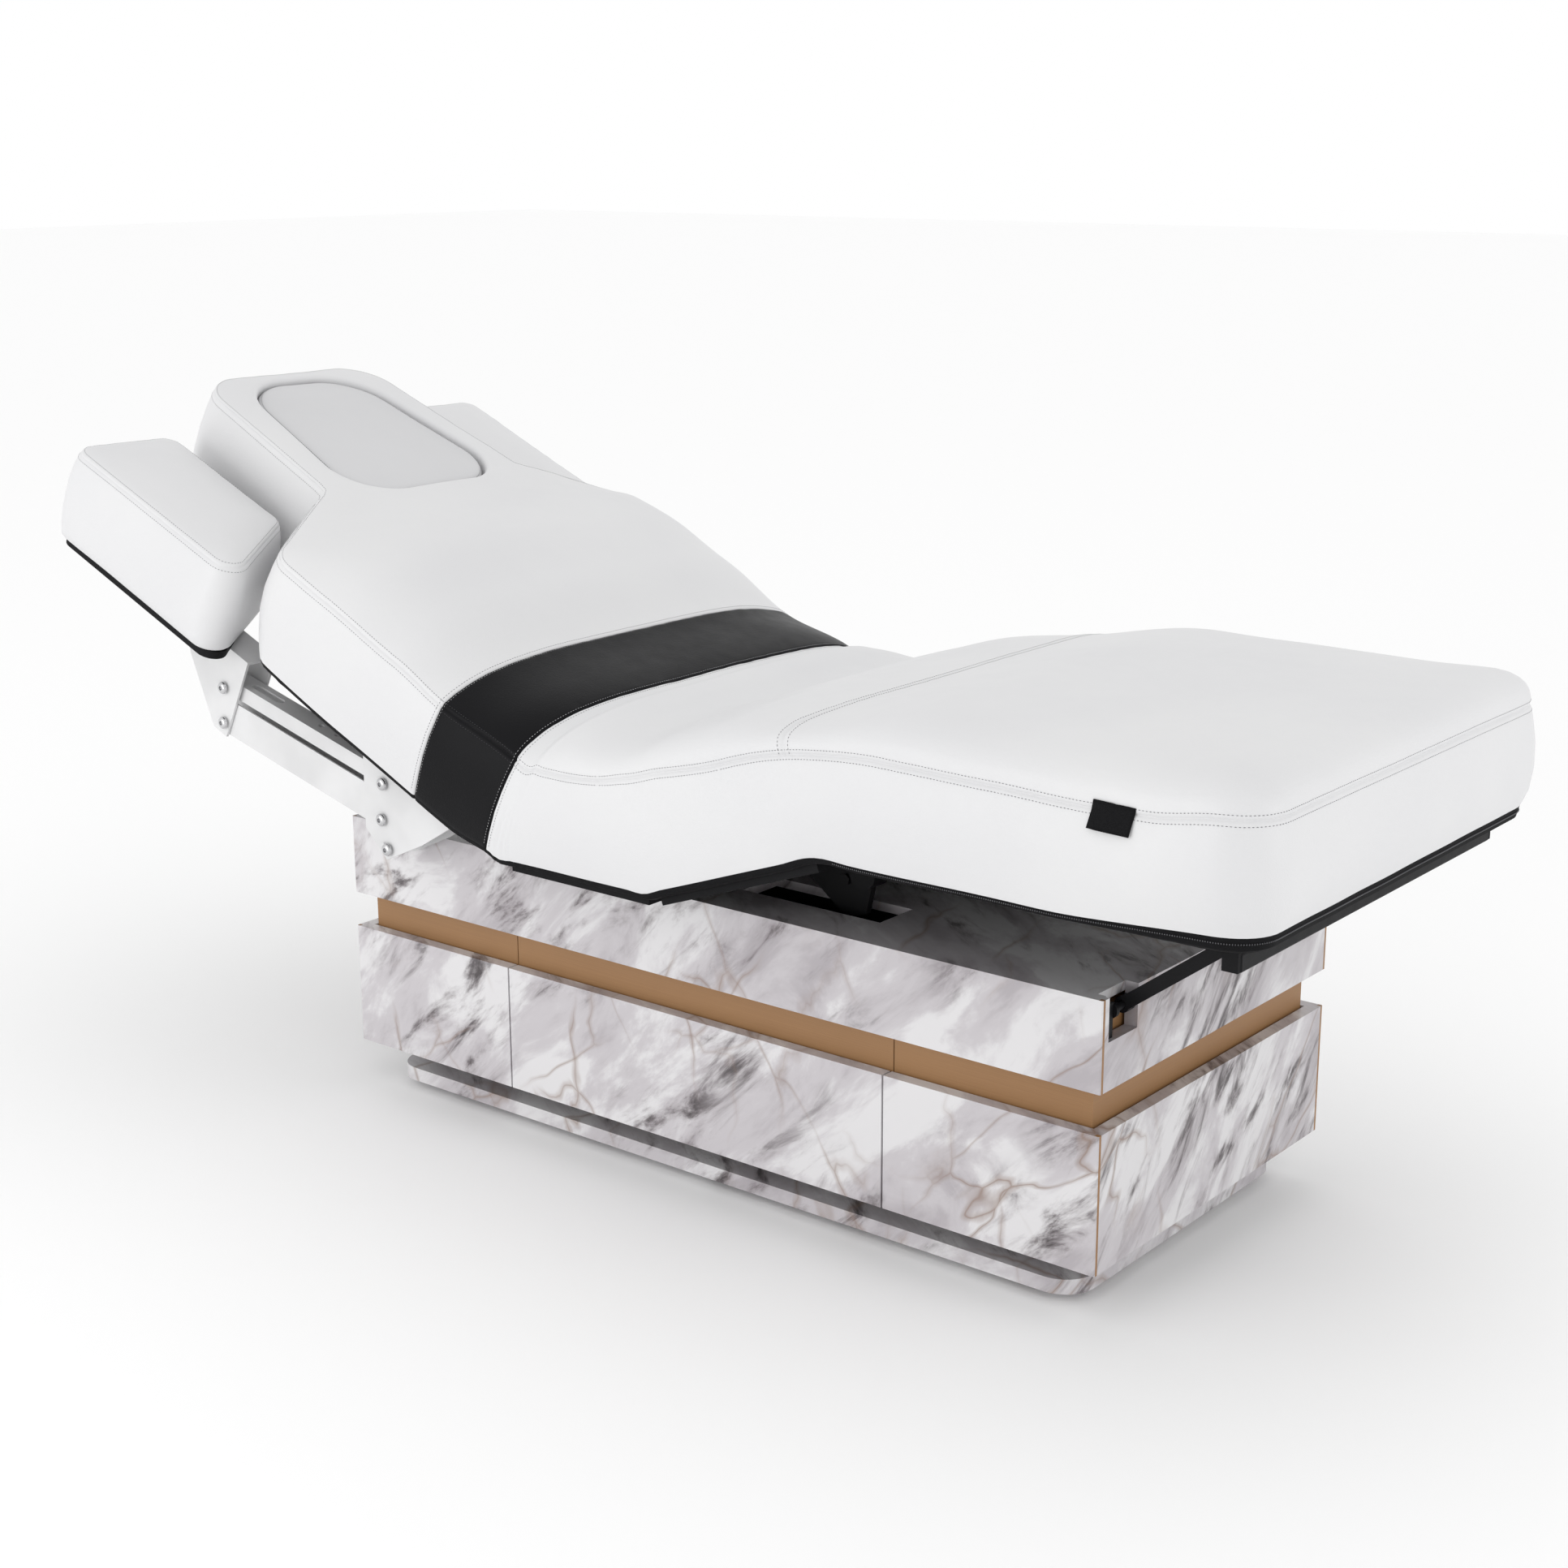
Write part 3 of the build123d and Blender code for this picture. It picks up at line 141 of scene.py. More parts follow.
class Look:
    """A material built from the principled shader and procedural textures."""

    def __init__(self, name, color, rough, metal=0.0):
        materials[name] = simple_material(name, color, rough, metal)
        self.tree = materials[name].node_tree
        self.shader = self.tree.nodes["Principled BSDF"]
        self.place = self.node("TexCoord", {}).outputs["Object"]

    def fill(self, node, sockets):
        # Each socket takes a plain value, or a link from another node's output
        for socket, source in sockets.items():
            if is_output(source):
                self.tree.links.new(source, node.inputs[socket])
            else:
                node.inputs[socket].default_value = source

    def node(self, kind, sockets, **settings):
        made = self.tree.nodes.new(f"ShaderNode{kind}")
        for setting, value in settings.items():
            setattr(made, setting, value)
        self.fill(made, sockets)
        return made

    def mapped(self, scale):
        # Object coordinates, stretched
        return self.node("Mapping", {"Scale": scale, "Vector": self.place}).outputs["Vector"]

    def sheets(self, across, thin, shift=0.0):
        # Coordinates in which a texture changes quickly along one direction only
        turn = Vector(across).rotation_difference(Vector((1, 0, 0))).to_euler()
        turned = self.node("Mapping", {"Rotation": turn, "Vector": self.place}).outputs["Vector"]
        stretch = {"Scale": (thin, 1, 1), "Location": (shift, shift, shift), "Vector": turned}
        return self.node("Mapping", stretch).outputs["Vector"]

    def noise(self, scale, detail, warp=0.0, place=None, rough=0.5):
        sockets = {"Scale": scale, "Detail": detail, "Roughness": rough, "Distortion": warp}
        sockets["Vector"] = place or self.place
        return self.node("TexNoise", sockets).outputs["Fac"]

    def cells(self, scale, place=None, **settings):
        sockets = {"Scale": scale, "Vector": place or self.place}
        return self.node("TexVoronoi", sockets, **settings).outputs["Distance"]

    def warped(self, place, scale, amount):
        # Coordinates pushed about by a noise
        wave = self.node("TexNoise", {"Scale": scale, "Detail": 3, "Vector": place})
        sockets = {0: wave.outputs["Color"], 1: (amount, amount, amount), 2: place}
        return self.node("VectorMath", sockets, operation="MULTIPLY_ADD").outputs["Vector"]

    def ramp(self, source, *stops):
        # From a value to colours, or to shares, at the places of the stops
        node = self.node("ValToRGB", {"Fac": source})
        node.color_ramp.interpolation = "EASE"
        marks = node.color_ramp.elements
        for _ in stops[2:]:
            marks.new(0.5)
        for mark, (at, color) in zip(marks, stops):
            mark.position = at
            mark.color = (*color, 1) if hasattr(color, "__len__") else (color, color, color, 1)
        return node.outputs["Color"]

    def mix(self, share, *colors):
        first, second = [color if is_output(color) else (*color, 1) for color in colors]
        sockets = {"Factor": share, 6: first, 7: second}
        return self.node("Mix", sockets, data_type="RGBA").outputs[2]

    def only_where(self, share, amount):
        # An amount that fades out with the share
        return self.mix(share, (0, 0, 0), amount)

    def paint(self, color):
        self.fill(self.shader, {"Base Color": color})

    def gloss(self, source, low, high):
        # Roughness that wanders between two values
        node = self.node("MapRange", {"To Min": low, "To Max": high, "Value": source})
        self.fill(self.shader, {"Roughness": node.outputs["Result"]})

    def bump(self, source, distance, strength=1.0, below=None):
        # Relief of the surface, on top of another one where that is given
        sockets = {"Distance": distance, "Strength": strength, "Height": source}
        if below:
            sockets["Normal"] = below
        raised = self.node("Bump", sockets).outputs["Normal"]
        self.fill(self.shader, {"Normal": raised})
        return raised


def leatherette(name, color, shade, rough):
    # Coated cloth with a fine pebble grain, a little uneven in tone and gloss
    look = Look(name, color, rough)
    look.paint(look.ramp(look.noise(2.6, 4, 0.3), (0.30, shade), (0.70, color)))
    look.gloss(look.noise(38, 3), rough - 0.06, rough + 0.08)
    grain = look.bump(look.cells(620), 0.00022, 0.5)
    look.bump(look.noise(210, 3), 0.00025, 0.6, grain)


def thread(name, color):
    # Twisted thread
    look = Look(name, color, 0.75)
    dark = tuple(0.6 * part for part in color)
    look.paint(look.ramp(look.noise(900, 1), (0.35, dark), (0.65, color)))
    look.bump(look.noise(2400, 1), 0.0001)


def marble_clouds(look):
    place = look.sheets(STREAK_ACROSS, 3.0)
    stops = ((0.34, MARBLE_SMOKE), (0.47, MARBLE_LILAC), (0.58, MARBLE_WHITE))
    return look.ramp(look.noise(4.2, 6, 0.5, place, 0.60), *stops)


def marble_vein(look, scale, across, thin, shift, strength):
    # How much of one set of fine veins shows
    place = look.warped(look.sheets(across, thin, shift), 5.0, 0.16)
    walls = look.cells(scale, place, feature="DISTANCE_TO_EDGE")
    line = look.ramp(walls, (0.0, strength), (0.007, 0.5 * strength), (0.030, 0.0))
    patches = look.noise(3.0, 2, 0.0, look.sheets(across, 1.0, shift))
    return look.only_where(look.ramp(patches, (0.49, 0.0), (0.62, 1.0)), line)


def marble_color(look):
    # Lilac white clouds, slanted smoky streaks with dark cores, and fine brown veins
    base = marble_clouds(look)
    patches = look.noise(3.6, 2, 0.0, look.sheets(STREAK_ACROSS, 1.2, 3.0))
    some = look.ramp(patches, (0.34, 0.0), (0.54, 1.0))
    smoke = look.noise(7.0, 6, 0.5, look.sheets(STREAK_ACROSS, 4.6, 7.0), 0.64)
    haze = look.only_where(some, look.ramp(smoke, (0.48, 0.0), (0.68, 0.75)))
    core = look.only_where(some, look.ramp(smoke, (0.57, 0.0), (0.71, 0.95)))
    base = look.mix(haze, base, MARBLE_GREY)
    base = look.mix(core, base, MARBLE_DARK)
    for vein in MARBLE_VEINS:
        base = look.mix(marble_vein(look, *vein), base, MARBLE_BROWN)
    return base


def marble():
    # Printed marble laminate with a satin gloss
    look = Look("marble_laminate", MARBLE_WHITE, 0.30)
    look.paint(marble_color(look))
    look.gloss(look.noise(24, 3), 0.26, 0.38)
    look.bump(look.noise(140, 2), 0.0001, 0.4)


def brush_lines(look):
    # Fine level lines
    return look.noise(1.0, 3, 0.0, look.mapped(BRUSH_STRETCH))


def corner_edging():
    # Bronze edging that the laminate of the long sides laps over
    look = Look("corner_edging", BRONZE, 0.40)
    normal = look.node("NewGeometry", {}).outputs["True Normal"]
    sideways = look.node("SeparateXYZ", {"Vector": normal}).outputs["Y"]
    size = look.node("Math", {0: sideways}, operation="ABSOLUTE").outputs["Value"]
    laminate = look.ramp(size, (0.45, 0.0), (0.60, 1.0))
    bronze = look.ramp(brush_lines(look), (0.3, BRONZE_SHADE), (0.7, BRONZE))
    look.paint(look.mix(laminate, bronze, marble_color(look)))
    look.bump(look.noise(400, 2), 0.00005, 0.5)


def brushed(name, color, shade, rough, metal):
    # Metal or foil brushed along the level
    look = Look(name, color, rough, metal)
    lines = brush_lines(look)
    streak = look.ramp(lines, (0.30, shade), (0.70, color))
    look.paint(look.mix(look.noise(5, 2), streak, color))
    look.gloss(lines, rough - 0.06, rough + 0.12)
    look.bump(lines, 0.00008, 0.6)


def coated(name, color, rough, metal=0.0, grain=700.0, depth=0.00012):
    # Powder coat, moulded plastic or cast metal: an even skin with a fine texture
    look = Look(name, color, rough, metal)
    shade = tuple(0.88 * part for part in color)
    look.paint(look.ramp(look.noise(9, 3), (0.30, shade), (0.70, color)))
    look.gloss(look.noise(60, 2), rough - 0.05, rough + 0.08)
    look.bump(look.noise(grain, 2), depth, 0.7)


def faced_board():
    # Grey faced board inside the cabinet
    look = Look("carcass_board", BOARD_GREY, 0.6)
    stops = ((0.0, BOARD_DARK), (0.5, BOARD_GREY), (1.0, BOARD_LIGHT))
    look.paint(look.ramp(look.cells(240), *stops))
    look.bump(look.noise(260, 3), 0.0003)


MARBLE_WHITE = (0.70, 0.69, 0.70)
MARBLE_LILAC = (0.54, 0.515, 0.535)
MARBLE_SMOKE = (0.42, 0.392, 0.413)
MARBLE_GREY = (0.19, 0.160, 0.170)
MARBLE_DARK = (0.050, 0.040, 0.043)
MARBLE_BROWN = (0.25, 0.165, 0.125)
BRONZE = (0.32, 0.168, 0.066)
BRONZE_SHADE = (0.26, 0.130, 0.050)
BRUSH_STRETCH = (3, 3, 1400)
BOARD_DARK = (0.19, 0.185, 0.18)
BOARD_GREY = (0.22, 0.215, 0.21)
BOARD_LIGHT = (0.25, 0.245, 0.24)
# How little the black coverings and coats shine
BLACK_SPECULAR = 0.08
# The way across the marble's streaks and across its finest veins
STREAK_ACROSS = (1.0, 1.3, -1.1)
VEIN_ACROSS = (1.0, 0.4, 0.5)
# Scale, way across, thinness, shift and strength of each set of veins
MARBLE_VEINS = ((3.4, STREAK_ACROSS, 2.8, 11.0, 0.80), (2.8, VEIN_ACROSS, 2.4, 17.0, 0.70))

leatherette("white_upholstery", (0.71, 0.71, 0.715), (0.68, 0.68, 0.69), 0.46)
# A darker copy of the white upholstery for the face insert: painted shade for the insert's sunk top
leatherette("insert_upholstery", (0.62, 0.62, 0.63), (0.59, 0.59, 0.60), 0.48)
leatherette("black_upholstery", (0.008, 0.008, 0.009), (0.005, 0.005, 0.006), 0.36)
thread("white_thread", (0.22, 0.22, 0.23))
thread("grey_thread", (0.60, 0.60, 0.61))
thread("dark_thread", (0.05, 0.05, 0.055))
thread("black_webbing", (0.010, 0.010, 0.011))
marble()
corner_edging()
brushed("bronze", BRONZE, BRONZE_SHADE, 0.45, 0.0)
coated("white_steel", (0.72, 0.72, 0.725), 0.38)
coated("black_steel", (0.012, 0.012, 0.013), 0.42)
brushed("grey_steel", (0.50, 0.50, 0.51), (0.38, 0.38, 0.39), 0.30, 0.9)
coated("black_board", (0.012, 0.012, 0.013), 0.60, 0.0, 160.0, 0.0003)
faced_board()
coated("rubber_pad", (0.014, 0.014, 0.014), 0.75, 0.0, 300.0, 0.0003)
coated("black_plastic", (0.012, 0.012, 0.013), 0.50, 0.0, 420.0, 0.0002)
coated("bright_steel", (0.62, 0.62, 0.63), 0.22, 1.0)
coated("zip_metal", (0.16, 0.16, 0.17), 0.35, 0.7)

for name in ("black_upholstery", "black_webbing", "black_steel", "black_board", "black_plastic"):
    shader = materials[name].node_tree.nodes["Principled BSDF"]
    shader.inputs["Specular IOR Level"].default_value = BLACK_SPECULAR


def dress_nodes():
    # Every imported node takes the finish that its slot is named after
    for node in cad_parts.values():
        for spot in node.material_slots:
            spot.material = materials[spot.material.name.split(".")[0]]
    for name in ("corner_trims_lower", "corner_trims_upper"):
        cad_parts[name].material_slots[0].material = materials["corner_edging"]


dress_nodes()

# Hinges of the mattress in X and Z, and how far each section is turned at rest
HIP_HINGE = (-0.246, 0.432)
THIGH_HINGE = (0.020, 0.432)
THIGH_LENGTH = 0.289
BACK_TURN = math.radians(-23.5)
THIGH_TURN = math.radians(20.0)
CUSHION_LIFT = 0.009
KNEE_HINGE = (
    THIGH_HINGE[0] + THIGH_LENGTH * math.cos(THIGH_TURN),
    THIGH_HINGE[1] + THIGH_LENGTH * math.sin(THIGH_TURN),
)

# Where the foot end stands in X
FOOT_END = 0.888

# Places along the mattress, measured on its base from the hip hinge, the head at the minus end
THIGH_AT = THIGH_HINGE[0] - HIP_HINGE[0]
KNEE_AT = THIGH_AT + THIGH_LENGTH
FOOT_AT = KNEE_AT + FOOT_END - KNEE_HINGE[0]
BAND_HEAD_AT = -0.172
BAND_FOOT_AT = -0.026
SEAT_CUT_AT = 0.191
THIGH_CUT_AT = 0.450
SHOULDER_AT = -0.545
NECK_AT = -0.655
HEAD_AT = -1.004
HALF_WIDTH = 0.386
NECK_HALF = 0.208
HEAD_HALF = 0.178

# Each bend: its hinge, the turn past it, where its slide starts and ends at the base and the crown,
# and where its rise does
SECTION_BENDS = (
    (0.0, HIP_HINGE, 0.0, (-0.026, 0.030), (-0.026, 0.190), (-0.026, 0.030), (-0.026, 0.050)),
    (THIGH_AT, THIGH_HINGE, THIGH_TURN, (-0.030, 0.030), (-0.150, 0.130), (-0.030, 0.030), (-0.180, 0.110)),
    (KNEE_AT, KNEE_HINGE, 0.0, (-0.050, 0.050), (-0.105, 0.150), (-0.050, 0.050), (-0.105, 0.150)),
)
CROWN_LEVEL = 0.200

# Section of the mattress: seam, crown, and how both rise and fall along it
SEAM_IN = 0.011
SEAM_HALF = HALF_WIDTH - SEAM_IN
SEAM_HEIGHT = 0.139
CROWN_HEIGHT = 0.197
CROWN_SPAN = 0.330
CROWN_POWER = 4.0
SEAM_SWELL_AT = (
    -0.662, -0.525, -0.430, -0.270, -0.172, -0.050, 0.075, 0.130, 0.255,
    0.460, 0.580, 0.660, 0.800, 0.920, 1.000, 1.100,
)
SEAM_SWELL = (
    0.044, 0.020, 0.017, 0.010, 0.001, 0.006, -0.005, -0.005, 0.015,
    -0.001, -0.010, -0.005, -0.007, -0.010, -0.008, 0.004,
)
CROWN_SWELL_AT = (-0.660, -0.600, -0.400, -0.300, -0.172, -0.026, 0.150, 0.300, 0.430, 0.560, 0.700)
CROWN_SWELL = (0.000, 0.003, 0.034, 0.024, -0.002, 0.014, 0.004, 0.006, 0.000, -0.026, 0.000)
SQUARE_AT = (-0.680, -0.500, -0.172, -0.026, 0.150, 0.550, 0.800)
SQUARE = (0.38, 0.80, 0.78, 0.60, 0.35, 0.24, 0.30)
DROP_AT = (-0.600, -0.320, -0.100, -0.010)
DROP = (-0.0060, 0.0060, 0.0105, 0.0)

# Side of a cover from its foot up to the seam: inset, height, share of the drop below the board
# and share of the lift at the foot end
SIDE_ROWS = (
    (0.0250, 0.0005, 0.0, 0.0),
    (0.0242, -0.0040, 1.0, 0.0),
    (0.0180, -0.0075, 1.0, 0.0),
    (0.0100, -0.0040, 1.0, 0.2),
    (0.0064, 0.0035, 1.0, 1.0),
    (0.0048, 0.0095, 0.8, 1.0),
    (0.0018, 0.0300, 0.4, 0.4),
    (0.0000, 0.0620, 0.1, 0.0),
    (0.0012, 0.0920, 0.0, 0.0),
    (0.0048, 0.1160, 0.0, 0.0),
    (0.0080, 0.1290, 0.0, 0.0),
    (0.0097, 0.1345, 0.0, 0.0),
    (0.0105, 0.1372, 0.0, 0.0),
    (0.0109, 0.1385, 0.0, 0.0),
    (0.0110, 0.1392, 0.0, 0.0),
)
FOOT_LIFT = 0.009
FOOT_TUCK = 0.008
FOOT_LIFT_AT = (0.880, 1.120)
SHOULDER_TUCK = 0.032
SHOULDER_SPAN = (-0.500, -0.600)
TUCK_BELOW = 0.090
# How much sooner than at the full width the shoulder's tuck is whole
TUCK_SOONER = 4
# The lowest strips of the side are its black edging
EDGING_ROWS = 4

# Relief along the surface, in metres
GROOVE_DEPTH = 0.0014
GROOVE_HALF = 0.0016
SEAM_PUFF = 0.0006
SEAM_PUFF_AT = 0.0065
SEAM_PUFF_HALF = 0.0040
PUCKER_DEPTH = 0.0009
PUCKER_REACH = 0.016
PUCKER_PITCH = 0.013
WAVE_DEPTH = 0.0012
WAVE_PITCH = 0.110
EDGE_DIP = 0.0026
EDGE_DIP_HALF = 0.0018
GATHER_DEPTH = 0.0011
GATHER_PITCH = 0.015
GATHER_REACH = 0.040
GATHER_BELOW = (0.020, 0.060)
GATHER_WANDER = 1.5
GATHER_UNEVEN = 0.6
EDGE_STEPS = (0.0008, 0.0018, 0.0032, 0.0060, 0.0100)
SEAM_STEPS = (-0.0100, -0.0060, -0.0032, -0.0016, 0.0, 0.0016, 0.0032, 0.0060, 0.0100)
PATH_STEP = 0.012
PAD_STEP = 0.007
FILL_STEP = 0.013
BASE_STEP = 0.060
# Spacing by the step: rows of even triangles, their gap to a line, even places beside fine ones
TRIANGLE_ROWS = 0.87
LINE_GAP = 0.5
PLACE_GAP = 0.4
FEWEST_PLACES = 8
ARC_POINTS = 25
# A plan's depth is exact up to one depth and smooth after the next stretch
EXACT_DEPTH = 0.015
SMOOTH_STRETCH = 0.070
SMALLEST_GAP = 1e-4
POINTS_AT_ONCE = 4000


def ease(x):
    x = np.clip(x, 0, 1)
    return x * x * (3 - 2 * x)


def ease_between(x, start, end):
    return ease((x - start) / (end - start))


def eased(t, places, values):
    # A value that changes along the mattress, level at each of its places
    places, values = np.array(places), np.array(values)
    i = np.clip(np.searchsorted(places, t) - 1, 0, len(places) - 2)
    return values[i] + (values[i + 1] - values[i]) * ease_between(t, places[i], places[i + 1])


def section_point(points, at, hinge, turn):
    # Where flat points land on one straight section
    along, up = points[:, 0] - at, points[:, 2] + CUSHION_LIFT
    x = hinge[0] + along * math.cos(turn) - up * math.sin(turn)
    z = hinge[1] + along * math.sin(turn) + up * math.cos(turn)
    return np.stack([x, points[:, 1], z], 1)


def bend_share(points, at, low, high):
    # How far each point is past a bend, from 0 to 1
    level = np.clip(points[:, 2] / CROWN_LEVEL, 0, 1)
    start = at + low[0] + (high[0] - low[0]) * level
    end = at + low[1] + (high[1] - low[1]) * level
    return ease_between(points[:, 0], start, end)


def bend(points):
    # From flat (along, across, height above the board) to the row frame
    points = np.asarray(points, float).reshape(-1, 3)
    world = section_point(points, 0, HIP_HINGE, BACK_TURN)
    for at, hinge, turn, slide_low, slide_high, rise_low, rise_high in SECTION_BENDS:
        past = section_point(points, at, hinge, turn)
        gap = world - past
        along = np.array([math.cos(turn), 0, math.sin(turn)])
        upright = np.array([-math.sin(turn), 0, math.cos(turn)])
        slide = (gap @ along) * (1 - bend_share(points, at, slide_low, slide_high))
        rise = (gap @ upright) * (1 - bend_share(points, at, rise_low, rise_high))
        world = past + slide[:, None] * along + rise[:, None] * upright
    return world


def arc_corner(before, corner, after, radius):
    # Points of the arc that rounds one corner of an outline
    a, b = before - corner, after - corner
    a, b = a / np.linalg.norm(a), b / np.linalg.norm(b)
    half = math.acos(float(np.clip(a @ b, -1, 1))) / 2
    middle = corner + (a + b) / np.linalg.norm(a + b) * radius / math.sin(half)
    first = corner + a * radius / math.tan(half) - middle
    last = corner + b * radius / math.tan(half) - middle
    start = math.atan2(first[1], first[0])
    sweep = (math.atan2(last[1], last[0]) - start + math.pi) % (2 * math.pi) - math.pi
    turns = start + sweep * np.linspace(0, 1, ARC_POINTS)
    return middle + radius * np.stack([np.cos(turns), np.sin(turns)], 1)


def outline(corners, rounds, closed):
    # An outline with its corners rounded
    corners = [np.array(corner, float) for corner in corners]
    last = len(corners) - 1
    runs = []
    for i, (corner, radius) in enumerate(zip(corners, rounds)):
        if radius and (closed or 0 < i < last):
            after = corners[(i + 1) % len(corners)]
            runs.append(arc_corner(corners[i - 1], corner, after, radius))
        else:
            runs.append(corner[None])
    path = np.vstack(runs)
    if closed:
        path = np.vstack([path, path[:1]])
    keep = np.r_[True, np.linalg.norm(np.diff(path, axis=0), axis=1) > 1e-9]
    return path[keep]


def lengths(path):
    return np.r_[0, np.cumsum(np.linalg.norm(np.diff(path, axis=0), axis=1))]


def resample(path, places):
    run = lengths(path)
    return np.stack([np.interp(places, run, path[:, k]) for k in range(path.shape[1])], 1)


def stations(path, step, close_to=()):
    # Even places along a path, with finer ones round the given places
    total = lengths(path)[-1]
    even = np.linspace(0, total, max(FEWEST_PLACES, int(round(total / step))) + 1)
    fine = np.array(sorted(close_to))
    if len(fine):
        gap = np.abs(even[:, None] - fine[None]).min(1)
        ends = (even == 0) | (even == total)
        even = even[(gap > step * PLACE_GAP) | ends]
        even = np.unique(np.round(np.r_[even, fine], 7))
    return even


def left_of(path, closed):
    # Unit normals on the left of a path
    if closed:
        tangent = np.roll(path, -1, 0) - np.roll(path, 1, 0)
    else:
        tangent = np.gradient(path, axis=0)
    tangent /= np.linalg.norm(tangent, axis=1)[:, None]
    return np.stack([-tangent[:, 1], tangent[:, 0]], 1)


def gap_to(points, starts, ends):
    # Distance from each point to each segment
    run = ends - starts
    offset = points[:, None, :] - starts[None]
    share = np.clip((offset * run).sum(2) / (run * run).sum(1), 0, 1)
    return np.linalg.norm(offset - share[..., None] * run, axis=2)


def inside(points, loop):
    x, y = points[:, 0], points[:, 1]
    hit = np.zeros(len(points), bool)
    for (x0, y0), (x1, y1) in zip(loop, np.roll(loop, -1, 0)):
        if y0 != y1:
            crosses = (y0 > y) != (y1 > y)
            hit ^= crosses & (x < x0 + (y - y0) * (x1 - x0) / (y1 - y0))
    return hit


class Plan:
    """The outline of a cushion from above, and how far inside it a point lies."""

    def __init__(self, corners, rounds):
        path = outline(corners, rounds, True)
        self.starts, self.ends = path[:-1], path[1:]
        self.corners = np.array(corners, float)

    def depth(self, points):
        # Exact near the outline, smoother further in so that no ridges form
        points = np.asarray(points, float)
        exact = np.concatenate([
            gap_to(part, self.starts, self.ends).min(1)
            for part in np.array_split(points, len(points) // POINTS_AT_ONCE + 1)
        ])
        sides = gap_to(points, self.corners, np.roll(self.corners, -1, 0))
        soft = (1 / np.maximum(sides, SMALLEST_GAP) ** 4).sum(1) ** -0.25
        return exact + (soft - exact) * ease((exact - EXACT_DEPTH) / SMOOTH_STRETCH)


def mirrored(corners):
    # Corners on the other side, walked on the same way round
    return tuple((t, -y) for t, y in corners[::-1])


SHOULDER_ROUND = 0.065
NECK_ROUND = 0.012
HEAD_ROUND = 0.080
FOOT_ROUND = 0.070
BACK_HALF = (
    (BAND_HEAD_AT, HALF_WIDTH), (SHOULDER_AT, HALF_WIDTH), (NECK_AT, NECK_HALF), (HEAD_AT, HEAD_HALF),
)
BACK_HALF_ROUNDS = (0, SHOULDER_ROUND, NECK_ROUND, HEAD_ROUND)
BACK_CORNERS = BACK_HALF + mirrored(BACK_HALF)
BACK_ROUNDS = BACK_HALF_ROUNDS + BACK_HALF_ROUNDS[::-1]
mattress_corners = BACK_CORNERS[:-1] + ((FOOT_AT, -HALF_WIDTH), (FOOT_AT, HALF_WIDTH))
mattress_rounds = BACK_ROUNDS[:-1] + (FOOT_ROUND, FOOT_ROUND)
mattress = Plan(mattress_corners, mattress_rounds)


def seam_height(t):
    return SEAM_HEIGHT + eased(t, SEAM_SWELL_AT, SEAM_SWELL)


def crown_height(t, depth):
    # Height of the top panel
    seam = seam_height(t)
    crown = CROWN_HEIGHT + eased(t, CROWN_SWELL_AT, CROWN_SWELL)
    share = np.clip((depth - SEAM_IN) / CROWN_SPAN, 0, 1)
    return seam + (crown - seam) * (1 - (1 - share) ** CROWN_POWER) ** eased(t, SQUARE_AT, SQUARE)


def mattress_top(points):
    points = np.asarray(points, float)
    return crown_height(points[:, 0], mattress.depth(points))


def mattress_side(path, normal, inset, height, drop, lift=0.0):
    # One row of the side, below the seam
    near_foot = ease_between(path[:, 0], *FOOT_LIFT_AT)
    shoulder = ease_between(path[:, 0], *SHOULDER_SPAN)
    shoulder *= ease((np.abs(path[:, 1]) - NECK_HALF) / (HALF_WIDTH - NECK_HALF) * TUCK_SOONER)
    low = np.clip(1 - height / TUCK_BELOW, 0, 1) ** 2
    tuck = FOOT_TUCK * drop * near_foot + SHOULDER_TUCK * low * shoulder
    at = path + normal * (inset + tuck)[:, None]
    rise = seam_height(path[:, 0]) / SEAM_HEIGHT
    level = np.where(height > 0, height * rise, height) + FOOT_LIFT * lift * near_foot
    return np.c_[at, level - drop * eased(path[:, 0], DROP_AT, DROP)]


